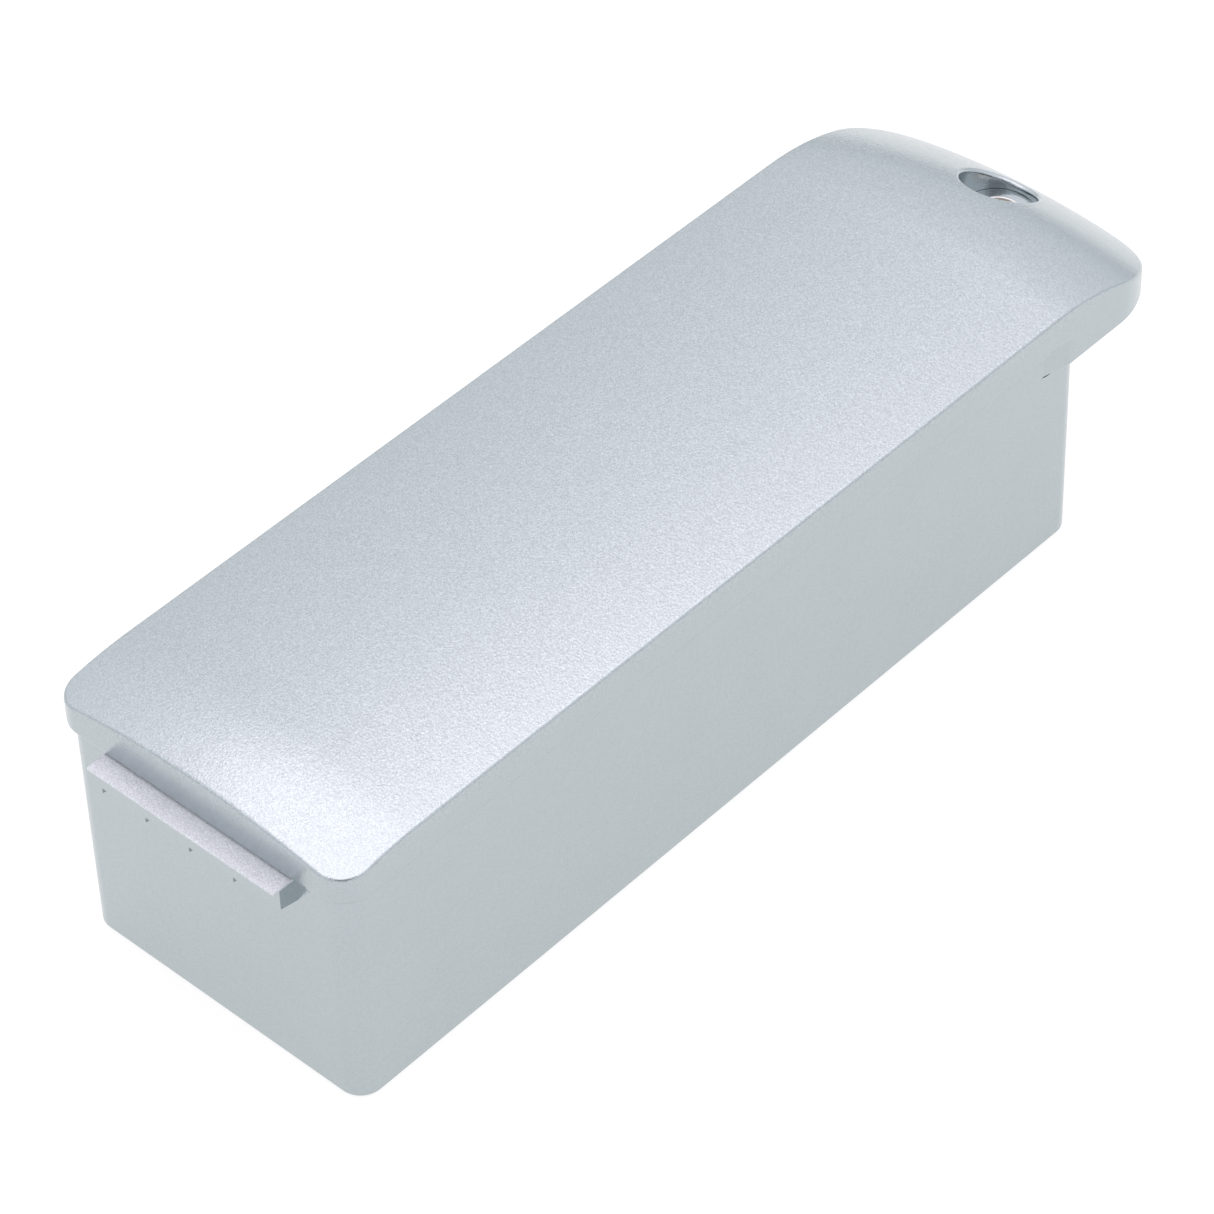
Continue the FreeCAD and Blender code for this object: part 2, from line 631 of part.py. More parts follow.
def write_links():
    """Brackets, nickel links and fibre sheets."""
    first_end = BANK_1 - BRACKET_FLOOR
    first_far = BANK_1 + CELL_LENGTH + BRACKET_FLOOR
    second_end = BANK_2 - BRACKET_FLOOR
    brackets = [(first_end, 1), (first_far, -1), (second_end, 1), (FAR_PLATE, -1)]
    for number, (x, inward) in enumerate(brackets, start=1):
        save("cell_bracket_%d" % number, [cell_bracket(x, inward)])
    low = LOW_CELL - 5.0
    high = HIGH_CELL + 5.0
    middle = (LOW_CELL + HIGH_CELL) / 2
    save("nickel_tail", [nickel_plate(first_end - NICKEL, low, high)])
    save("nickel_middle_lower", [middle_link(4.2, LOW_CELL + 5.0, False)])
    save("nickel_middle_upper", [middle_link(HIGH_CELL - 5.0, 37.2, True)])
    save("nickel_nose_lower", [nose_link(low, middle - 3.0, LOW_CELL - 3)])
    save("nickel_nose_upper", [nose_link(middle + 3.0, high, HIGH_CELL + 3)])
    save("sheet_tail", [insulating_sheet(STACK_START)])
    save("sheet_middle", [insulating_sheet(first_far + NICKEL)])
    save("sheet_nose", [insulating_sheet(FAR_SHEET)])


def write_electronics():
    """Board, its parts, contacts, leads and the temperature sensor."""
    save("circuit_board", [circuit_board()])
    transistors = [board_chip(6 + 7 * step, 16.0, 5.0, 4.0, 1.5) for step in range(4)]
    save("power_transistors", transistors)
    save("controller_chip", [board_chip(8, 22.0, 6.0, 4.0, 1.2)])
    save("sense_resistor", [board_chip(19, 22.5, 6.4, 3.2, 0.8)])
    save("thermistor", [thermistor()])
    save("contact_block", [contact_block()])
    places = contact_places()
    tails = [24.1, 21.5, 21.5, 21.5]
    save("contact_blades", [contact_blade(y, top) for y, top in zip(places, tails)])
    save("lead_cell_negative", [cell_lead(LOW_CELL - 3, 15.6)])
    save("lead_cell_positive", [cell_lead(HIGH_CELL + 3, 26.4)])
    save("output_leads", [output_lead(places[3], 19.2), output_lead(places[0], 23.4)])
    save("sense_leads", [sense_lead(BANK_1 + 8, 19.6), sense_lead(BANK_1 + CELL_LENGTH - 9, 21.2)])
    foams = [foam_pad(-CELL_PITCH_ACROSS / 2), foam_pad(CELL_PITCH_ACROSS / 2)]
    save("foam_pads", foams)


def main():
    """Write every node of the pack."""
    os.makedirs("parts", exist_ok=True)
    save("tub", [tub()])
    save("cover", [cover()])
    save("screw_sleeve", [screw_sleeve()])
    write_cells()
    write_links()
    write_electronics()


main()
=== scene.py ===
"""Rechargeable battery pack: a painted tub and crowned cover round eight cells.

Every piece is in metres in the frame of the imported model: +X points to the nose,
the end with the fixing screw, +Z is up, and the tub stands on z = 0.
"""

import logging
import math
from dataclasses import dataclass, field
from enum import Enum

import bmesh
import bpy
import numpy as np
from mathutils import Matrix, Vector


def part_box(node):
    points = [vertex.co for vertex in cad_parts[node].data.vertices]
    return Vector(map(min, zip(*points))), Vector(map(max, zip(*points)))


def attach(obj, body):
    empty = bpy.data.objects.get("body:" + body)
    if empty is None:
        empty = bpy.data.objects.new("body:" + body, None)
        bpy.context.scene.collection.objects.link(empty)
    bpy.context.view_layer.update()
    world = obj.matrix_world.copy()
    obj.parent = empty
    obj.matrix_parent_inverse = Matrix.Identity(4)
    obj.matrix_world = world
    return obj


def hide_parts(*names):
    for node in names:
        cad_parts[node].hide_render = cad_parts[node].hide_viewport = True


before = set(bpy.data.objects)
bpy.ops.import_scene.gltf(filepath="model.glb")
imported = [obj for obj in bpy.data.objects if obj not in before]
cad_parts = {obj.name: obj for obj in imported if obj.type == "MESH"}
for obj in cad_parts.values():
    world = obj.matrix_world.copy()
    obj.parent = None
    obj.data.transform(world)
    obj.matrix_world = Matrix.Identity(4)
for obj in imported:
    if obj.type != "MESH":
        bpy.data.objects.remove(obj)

MM = 0.001
LOG = logging.getLogger("battery_pack")
SAME_PLACE = 2e-7
CREASE = 32.0
SHELL_CREASE = 38.0
BEVEL_FROM = 28.0
BEVEL_STEPS = 3
Array = np.ndarray
Outline = tuple[Array, Array]
Pair = tuple[float, float]
Triple = tuple[float, float, float]
Colour = Triple
Object = bpy.types.Object
Material = bpy.types.Material
Socket = bpy.types.NodeSocket
Plug = Socket | float | tuple[float, ...]


# ------------------------------------------------------------------ mesh making
def grid_faces(rows: int, cols: int, wrap_rows: bool, wrap_cols: bool) -> Array:
    """Quads between neighbouring rows and columns of a grid of points.

    Vertex (i, j) has number i * cols + j, and each quad joins (i, j), (i, j + 1),
    (i + 1, j + 1) and (i + 1, j), with the last row or column joined to the first
    where that way wraps.

    Args:
        rows: Number of rows of points.
        cols: Number of points in a row.
        wrap_rows: Whether the last row joins the first.
        wrap_cols: Whether the last column joins the first.

    Returns:
        An array of quads shaped (rows or rows - 1, cols or cols - 1, 4).
    """
    i = np.arange(rows if wrap_rows else rows - 1)[:, None]
    j = np.arange(cols if wrap_cols else cols - 1)[None, :]
    i_next = (i + 1) % rows
    j_next = (j + 1) % cols
    return np.stack([i * cols + j, i * cols + j_next, i_next * cols + j_next, i_next * cols + j], axis=-1)


def solid_from(name: str, points: Array, faces: list[list[int]], crease_deg: float = CREASE) -> Object:
    """A closed, outward-facing, smooth-shaded object from points and faces.

    Args:
        name: Name of the object and its mesh.
        points: Vertices, shaped (n, 3), in metres.
        faces: Vertex numbers of each face.
        crease_deg: Edges that turn by more than this stay sharp.

    Returns:
        The object, linked to the scene.
    """
    mesh = bpy.data.meshes.new(name)
    mesh.from_pydata(points.reshape(-1, 3).tolist(), [], faces)
    work = bmesh.new()
    work.from_mesh(mesh)
    bmesh.ops.remove_doubles(work, verts=work.verts, dist=SAME_PLACE)
    bmesh.ops.recalc_face_normals(work, faces=work.faces)
    work.to_mesh(mesh)
    work.free()
    mesh.shade_smooth()
    mesh.set_sharp_from_angle(angle=math.radians(crease_deg))
    piece = bpy.data.objects.new(name, mesh)
    bpy.context.scene.collection.objects.link(piece)
    return piece


def skin_from(name: str, rings: list[Array], crease_deg: float = CREASE) -> Object:
    """A closed skin over rings of points, with the last ring joined to the first.

    Args:
        name: Name of the piece.
        rings: Rings with the same number of points, each shaped (n, 3).
        crease_deg: Edges that turn by more than this stay sharp.

    Returns:
        The object.
    """
    faces = grid_faces(len(rings), len(rings[0]), True, True).reshape(-1, 4)
    return solid_from(name, np.stack(rings), faces.tolist(), crease_deg)


def ring_at(plan: Array, height: Array | float) -> Array:
    """Places in plan raised to a height.

    Args:
        plan: Places, shaped (n, 2).
        height: One height, or one for each place.

    Returns:
        Points, shaped (n, 3).
    """
    return np.column_stack([plan, np.broadcast_to(height, len(plan))])


def part_way(first: Array, last: Array, shares: tuple[float, ...] | Array) -> list[Array]:
    """Points at each share of the straight way from first to last.

    Args:
        first: Points at share 0.
        last: Points at share 1.
        shares: The shares.

    Returns:
        One array of points for each share.
    """
    return [first + (last - first) * share for share in shares]


def whole_outline(parts: list[Outline], back: float) -> Outline:
    """A symmetrical outline from the stretches of its half on the +Y side.

    Args:
        parts: Points and normals of each stretch, in order from the nose to the tail.
        back: Where the outline crosses the X axis at the tail.

    Returns:
        Points and unit normals of the whole outline, anticlockwise, shaped (n, 2).
    """
    mirror = np.array([1.0, -1.0])
    points = np.concatenate([p for p, _ in parts])
    normals = np.concatenate([n for _, n in parts])
    points = np.concatenate([points, [[back, 0.0]], points[:0:-1] * mirror])
    normals = np.concatenate([normals, [[-1.0, 0.0]], normals[:0:-1] * mirror])
    return points, normals


def revolved(name: str, centre: Pair, profile: Array, count: int) -> Object:
    """A closed ring turned about an upright axis.

    Point (i, j) is the centre plus profile radius i turned through j steps of the
    full circle, at profile height i; both ways wrap.

    Args:
        name: Name of the piece.
        centre: x and y of the axis.
        profile: Closed outline of radius and height, shaped (n, 2).
        count: Number of steps round the axis.

    Returns:
        The object.
    """
    turn = np.linspace(0.0, 2 * math.pi, count, endpoint=False)
    way = np.column_stack([np.cos(turn), np.sin(turn)])
    return skin_from(name, [ring_at(np.array(centre) + radius * way, height) for radius, height in profile])


def straight_bar(name: str, side_view: Array, y0: float, y1: float, easing: float) -> Object:
    """A side view carried straight along Y between two places, with eased edges.

    Args:
        name: Name of the piece.
        side_view: Corners (x, z) in order, shaped (n, 2).
        y0: Place of the first end.
        y1: Place of the second end.
        easing: Radius of the rounded edges.

    Returns:
        The object, with a live bevel.
    """
    count = len(side_view)
    ends = [np.insert(side_view, 1, y, axis=1) for y in (y0, y1)]
    sides = grid_faces(2, count, False, True).reshape(-1, 4).tolist()
    caps = [list(range(count)), list(range(count, 2 * count))]
    piece = solid_from(name, np.concatenate(ends), sides + caps)
    bevel = piece.modifiers.new("eased_edges", "BEVEL")
    bevel.width = easing
    bevel.segments = BEVEL_STEPS
    bevel.limit_method = "ANGLE"
    bevel.angle_limit = math.radians(BEVEL_FROM)
    return piece


def settle(piece: Object, slot: str, material: Material,
           stands_for: tuple[str, ...] = ()) -> None:
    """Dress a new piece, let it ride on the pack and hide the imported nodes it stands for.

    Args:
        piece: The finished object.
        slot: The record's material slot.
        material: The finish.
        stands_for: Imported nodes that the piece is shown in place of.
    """
    piece.data.materials.clear()
    piece.data.materials.append(material)
    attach(piece, "root")
    if stands_for:
        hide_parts(*stands_for)
    LOG.info("piece %s: %d faces, slot %s", piece.name, len(piece.data.polygons), slot)


# ------------------------------------------------------------------ node boards
class Board:
    """The node tree of a material or world, with a short call for each kind of node."""

    def __init__(self, owner: Material | bpy.types.World) -> None:
        """Empty the owner's tree and read Object coordinates.

        Args:
            owner: The material or world that the nodes are for.
        """
        owner.use_nodes = True
        self.tree = owner.node_tree
        self.tree.nodes.clear()
        self.coordinates = self.node("TexCoord").outputs
        self.place = self.coordinates["Object"]

    def node(self, kind: str, *plugs: Plug, **named: Plug | str) -> bpy.types.Node:
        """A new node with its settings and inputs.

        Args:
            kind: The node's type, without ShaderNode.
            plugs: What goes into the first inputs, in their order.
            named: The node's own settings in lower case, and what goes into other
                inputs, by their names with _ for a space.

        Returns:
            The node.
        """
        node = self.tree.nodes.new("ShaderNode" + kind)
        for name, value in named.items():
            if name.islower():
                setattr(node, name, value)
            else:
                self.feed(node.inputs[name.replace("_", " ")], value)
        for number, value in enumerate(plugs):
            self.feed(node.inputs[number], value)
        return node

    def feed(self, target: Socket, value: Plug) -> None:
        """Join an input to an output, or set it to a constant.

        Args:
            target: The input.
            value: The output or the constant.
        """
        if isinstance(value, Socket):
            self.tree.links.new(value, target)
        else:
            target.default_value = value

    def stretched(self, scale: Triple) -> Socket:
        """Object coordinates multiplied along each axis.

        Args:
            scale: Factor along X, Y and Z.

        Returns:
            The stretched coordinates.
        """
        return self.node("Mapping", Scale=scale, Vector=self.place).outputs["Vector"]

    def noise(self, size: float, detail: float = 2.0, rough: float = 0.5,
              place: Socket | None = None) -> Socket:
        """Soft noise with lumps of a given size.

        Args:
            size: Width of a lump in metres.
            detail: Number of finer layers.
            rough: Strength of the finer layers.
            place: Coordinates to read in place of the plain ones.

        Returns:
            A value from 0 to 1.
        """
        node = self.node("TexNoise", Scale=1.0 / size, Detail=detail, Roughness=rough,
                         Vector=place or self.place)
        return node.outputs["Fac"]

    def height(self) -> Socket:
        """Height above the base, in metres."""
        return self.node("SeparateXYZ", self.place).outputs["Z"]

    def grains(self, size: float, output: str = "Distance") -> Socket:
        """Cells of a given size.

        Args:
            size: Width of a cell in metres.
            output: Distance from the cell's middle, or the cell's own Color.

        Returns:
            That output of the cell pattern.
        """
        return self.node("TexVoronoi", Scale=1.0 / size, Vector=self.place).outputs[output]

    def ramp(self, value: Socket, stops: list[tuple[float, Colour]]) -> Socket:
        """Colours read off a value.

        Args:
            value: What chooses the colour.
            stops: Place from 0 to 1 and colour of each stop.

        Returns:
            The colour.
        """
        node = self.node("ValToRGB", value)
        band = node.color_ramp
        while len(band.elements) < len(stops):
            band.elements.new(1.0)
        for element, (place, colour) in zip(band.elements, stops):
            element.position = place
            element.color = (*colour, 1.0)
        return node.outputs["Color"]

    def cloudy(self, value: Socket, dark: Colour, light: Colour,
               start: float = 0.3, end: float = 0.7) -> Socket:
        """A colour that goes from dark to light with a value.

        Args:
            value: What chooses the colour.
            dark: Colour up to the start.
            light: Colour from the end.
            start: Value where the change starts.
            end: Value where it ends.

        Returns:
            The colour.
        """
        return self.ramp(value, [(start, dark), (end, light)])

    def span(self, value: Socket, low: float, high: float,
             start: float = 0.3, end: float = 0.7) -> Socket:
        """A value moved from one range to another.

        Args:
            value: The value to move.
            low: Result at the start of its range.
            high: Result at the end of its range.
            start: Start of the value's own range.
            end: End of the value's own range.

        Returns:
            The moved value, clamped.
        """
        return self.node("MapRange", value, start, end, low, high).outputs["Result"]

    def combine(self, kind: str, first: Socket, second: Socket | float) -> Socket:
        """Two values put together by a sum, product or other operation.

        Args:
            kind: The operation, such as ADD or MULTIPLY.
            first: First value.
            second: Second value, from a node or as a number.

        Returns:
            The result.
        """
        return self.node("Math", first, second, operation=kind).outputs["Value"]

    def mixed(self, share: Socket, first: Socket,
              second: Socket) -> Socket:
        """One colour faded into another.

        Args:
            share: How much of the second shows.
            first: First colour.
            second: Second colour.

        Returns:
            The mixed colour.
        """
        node = self.node("Mix", share, data_type="RGBA")
        self.feed(node.inputs[6], first)
        self.feed(node.inputs[7], second)
        return node.outputs[2]

    def relief(self, height: Socket, depth: float,
               under: Socket | None = None) -> Socket:
        """A bump of a given depth, laid over another if there is one.

        Args:
            height: Height from 0 to 1.
            depth: Metres between heights 0 and 1.
            under: Normal of the coarser bump below this one.

        Returns:
            The normal.
        """
        node = self.node("Bump", Distance=depth, Strength=1.0, Height=height)
        if under is not None:
            self.feed(node.inputs["Normal"], under)
        return node.outputs["Normal"]

    def finish(self, colour: Socket, rough: Socket,
               normal: Socket, metallic: float = 0.0, **plain: Plug) -> None:
        """Add the shader with its colour, roughness, normal and plain numbers.

        Args:
            colour: Base colour.
            rough: Roughness.
            normal: Surface normal.
            metallic: How metallic the surface is.
            plain: Other shader inputs by name, with _ for a space.
        """
        shader = self.node("BsdfPrincipled", Base_Color=colour, Roughness=rough, Normal=normal,
                           Metallic=metallic, **plain)
        self.node("OutputMaterial", shader.outputs["BSDF"])


# --------------------------------------------------------------------- finishes
@dataclass(frozen=True)
class Finish:
    """A named finish between a dark and a light colour."""

    name: str
    dark: Colour
    light: Colour

    def material(self) -> Material:
        """The finish as a new material."""
        material = bpy.data.materials.new(self.name)
        self.draw(Board(material))
        return material

    def draw(self, board: Board) -> None:
        """Lay out the finish's nodes.

        Args:
            board: The empty node board.
        """
        raise NotImplementedError


@dataclass(frozen=True)
class SilverPaint(Finish):
    """Silver metal-flake paint over a mould surface with a fine eroded grain."""

    dark: Colour = (0.425, 0.472, 0.489)
    light: Colour = (0.473, 0.527, 0.546)
    grain: float = 0.36 * MM
    grain_depth: float = 0.035 * MM
    flake: float = 0.13 * MM
    flake_share: float = 0.75
    cloud: float = 9.0 * MM
    rough_low: float = 0.19
    rough_high: float = 0.25
    # Heights over which the flakes change to the painted glint, and how far their colours spread there.
    painted_glint_spread: float = 0.13
    painted_glint_from: float = 38.0 * MM
    painted_glint_to: float = 42.5 * MM
    metallic: float = 1.0

    def draw(self, board: Board) -> None:
        """Grain as a bump, flakes as small random changes of colour; high on the roof the flakes get wider
        contrast, a painted glint where the top catches the light.

        Args:
            board: The empty node board.
        """
        flakes = board.grains(self.flake, "Color")
        cloud = board.noise(self.cloud, 3.0, 0.55)
        speck = board.combine("ADD", board.combine("MULTIPLY", flakes, self.flake_share),
                              board.combine("MULTIPLY", cloud, 1.0 - self.flake_share))
        plain = board.cloudy(speck, self.dark, self.light, 0.15, 0.85)
        # High on the roof the flake colours spread wider: painted glint where the top catches the light,
        # laid over the flakes' own random tone.
        painted_glint_colour = board.cloudy(flakes, self.scaled(self.dark, 1.0 - self.painted_glint_spread),
                              self.scaled(self.light, 1.0 + self.painted_glint_spread), 0.1, 0.9)
        high = board.span(board.height(), 0.0, 1.0, self.painted_glint_from, self.painted_glint_to)
        rough = board.span(board.noise(0.8 * MM, 2.0), self.rough_low, self.rough_high)
        normal = board.relief(board.noise(self.grain, 1.0), self.grain_depth)
        board.finish(board.mixed(high, plain, painted_glint_colour), rough, normal, self.metallic)

    @staticmethod
    def scaled(colour: Colour, factor: float) -> Colour:
        """A colour made lighter or darker.

        Args:
            colour: The colour.
            factor: What each part is multiplied by.

        Returns:
            The new colour.
        """
        return tuple(factor * part for part in colour)


@dataclass(frozen=True)
class Metal(Finish):
    """Bare or plated metal with drawing or turning marks along one way."""

    stretch: Triple = (1.0, 1.0, 1.0)
    mark: float = 0.12 * MM
    depth: float = 0.003 * MM
    rough_low: float = 0.18
    rough_high: float = 0.36

    def draw(self, board: Board) -> None:
        """Stretched noise for the marks, soft noise for stains.

        Args:
            board: The empty node board.
        """
        marks = board.noise(self.mark, 3.0, 0.6, board.stretched(self.stretch))
        colour = board.cloudy(board.noise(4.0 * MM, 3.0), self.dark, self.light)
        rough = board.span(marks, self.rough_low, self.rough_high)
        board.finish(colour, rough, board.relief(marks, self.depth), 1.0)


@dataclass(frozen=True)
class Plastic(Finish):
    """Moulded or coated plastic with a fine texture."""

    grain: float = 0.3 * MM
    depth: float = 0.006 * MM
    rough_low: float = 0.38
    rough_high: float = 0.55
    stretch: Triple = (1.0, 1.0, 1.0)

    def draw(self, board: Board) -> None:
        """Cloudy colour, a grain in the surface and uneven gloss.

        Args:
            board: The empty node board.
        """
        grain = board.noise(self.grain, 2.0, 0.5, board.stretched(self.stretch))
        colour = board.cloudy(board.noise(5.0 * MM, 3.0), self.dark, self.light)
        rough = board.span(grain, self.rough_low, self.rough_high)
        board.finish(colour, rough, board.relief(grain, self.depth))


@dataclass(frozen=True)
class Fibre(Finish):
    """Pressed fibre sheet: short fibres lying in all directions."""

    fibre: float = 0.25 * MM
    squeeze: float = 0.15

    def draw(self, board: Board) -> None:
        """Two crossed stretched noises give the fibres.

        Args:
            board: The empty node board.
        """
        along = board.noise(self.fibre, 4.0, 0.7, board.stretched((1.0, self.squeeze, 1.0)))
        across = board.noise(self.fibre, 4.0, 0.7, board.stretched((1.0, 1.0, self.squeeze)))
        felt = board.combine("MAXIMUM", along, across)
        colour = board.cloudy(felt, self.dark, self.light, 0.4, 0.7)
        board.finish(colour, board.span(felt, 0.65, 0.9), board.relief(felt, 0.02 * MM))


@dataclass(frozen=True)
class Foam(Finish):
    """Open foam with small pores."""

    pore: float = 0.5 * MM

    def draw(self, board: Board) -> None:
        """Pores as dark cells with raised walls; the darker colour in the pits is painted shade.

        Args:
            board: The empty node board.
        """
        pores = board.grains(self.pore)
        # Darker in the pore pits: painted shade in the hollows.
        colour = board.cloudy(pores, self.dark, self.light, 0.1, 0.6)
        board.finish(colour, board.span(pores, 0.8, 0.95), board.relief(pores, 0.12 * MM))


@dataclass(frozen=True)
class Laminate(Finish):
    """Glass-fibre board: solder mask, darker off the copper, over a woven cloth."""

    thread: float = 0.7 * MM
    copper_depth: float = 0.035 * MM
    weave_depth: float = 0.008 * MM

    def draw(self, board: Board) -> None:
        """Blocky cells for the copper, crossed waves for the cloth.

        Args:
            board: The empty node board.
        """
        copper = board.span(board.noise(2.4 * MM, 0.0), 0.0, 1.0, 0.48, 0.50)
        mask = board.cloudy(board.noise(3.0 * MM), self.dark, tuple(1.25 * c for c in self.dark))
        raised = board.cloudy(board.noise(3.0 * MM), self.light, tuple(1.2 * c for c in self.light))
        weave = board.combine("MAXIMUM", self.wave(board, "X"), self.wave(board, "Z"))
        normal = board.relief(weave, self.weave_depth, board.relief(copper, self.copper_depth))
        board.finish(board.mixed(copper, mask, raised), board.span(weave, 0.25, 0.4, 0.0, 1.0), normal)

    def wave(self, board: Board, way: str) -> Socket:
        """Threads across one axis.

        Args:
            board: The node board.
            way: The axis, X or Z.

        Returns:
            A value that rises and falls once for each thread.
        """
        turns = 0.314 / self.thread
        return board.node("TexWave", Scale=turns, Vector=board.place, bands_direction=way).outputs["Fac"]


# Lighter, less metallic copy of the silver paint for the hook plate: painted light standing in for the
# light the plate's top catches, not wear.
LIT_PLATE_PAINT = SilverPaint("silver_paint_painted_light", dark=(0.50, 0.53, 0.56), light=(0.80, 0.83, 0.87),
                           rough_low=0.42, rough_high=0.52, metallic=0.15, grain_depth=0.05 * MM)


class Slot(Enum):
    """The record's material slots, with the finish each one has."""

    silver_paint = SilverPaint("silver_paint_on_grain")
    sleeve_steel = Metal("turned_sleeve_steel", (0.62, 0.62, 0.61), (0.78, 0.78, 0.77), (1.0, 1.0, 12.0))
    cell_steel = Metal("plated_cell_steel", (0.50, 0.50, 0.49), (0.66, 0.66, 0.64), (0.08, 1.0, 1.0))
    nickel = Metal("rolled_nickel_strip", (0.56, 0.53, 0.47), (0.70, 0.67, 0.60), (1.0, 0.05, 1.0))
    contact_gold = Metal("gold_plated_contact", (0.80, 0.57, 0.24), (0.95, 0.72, 0.36), (1.0, 1.0, 0.08))
    electrode = Fibre("wound_electrode_roll", (0.020, 0.020, 0.022), (0.10, 0.09, 0.085))
    wrap_film = Plastic("shrunk_wrap_film", (0.02, 0.16, 0.42), (0.03, 0.21, 0.52),
                        1.2 * MM, 0.01 * MM, 0.16, 0.30, (0.2, 1.0, 1.0))
    fibre = Fibre("pressed_fibre_sheet", (0.30, 0.36, 0.22), (0.62, 0.66, 0.44))
    bracket_plastic = Plastic("moulded_bracket_black", (0.012, 0.012, 0.013), (0.028, 0.028, 0.030))
    board_laminate = Laminate("circuit_board_laminate", (0.02, 0.11, 0.055), (0.045, 0.20, 0.09))
    chip_black = Plastic("chip_moulding_compound", (0.014, 0.014, 0.016), (0.026, 0.026, 0.028),
                         0.12 * MM, 0.004 * MM)
    resistor_body = Plastic("resistor_film_on_ceramic", (0.10, 0.10, 0.11), (0.18, 0.18, 0.19), 0.2 * MM)
    sensor_resin = Plastic("dipped_sensor_resin", (0.10, 0.022, 0.012), (0.17, 0.04, 0.02),
                           0.6 * MM, 0.01 * MM, 0.2, 0.35)
    contact_housing = Plastic("contact_block_moulding", (0.018, 0.018, 0.020), (0.038, 0.038, 0.042),
                              0.22 * MM)
    lead_black = Plastic("lead_jacket_black", (0.010, 0.010, 0.011), (0.022, 0.022, 0.024), 0.8 * MM)
    lead_red = Plastic("lead_jacket_red", (0.36, 0.014, 0.012), (0.50, 0.030, 0.022), 0.8 * MM)
    lead_white = Plastic("lead_jacket_white", (0.62, 0.62, 0.58), (0.76, 0.76, 0.72), 0.8 * MM)
    foam = Foam("grey_foam_strip", (0.035, 0.035, 0.037), (0.11, 0.11, 0.115))


class Wardrobe:
    """Makes each finish once and hands it out by slot."""

    def __init__(self) -> None:
        """Start with nothing made."""
        self.made: dict[str, Material] = {}

    def for_slot(self, slot: Slot) -> Material:
        """The slot's material, made the first time it is asked for.

        Args:
            slot: The material slot.

        Returns:
            Its material.
        """
        if slot.name not in self.made:
            self.made[slot.name] = slot.value.material()
        return self.made[slot.name]


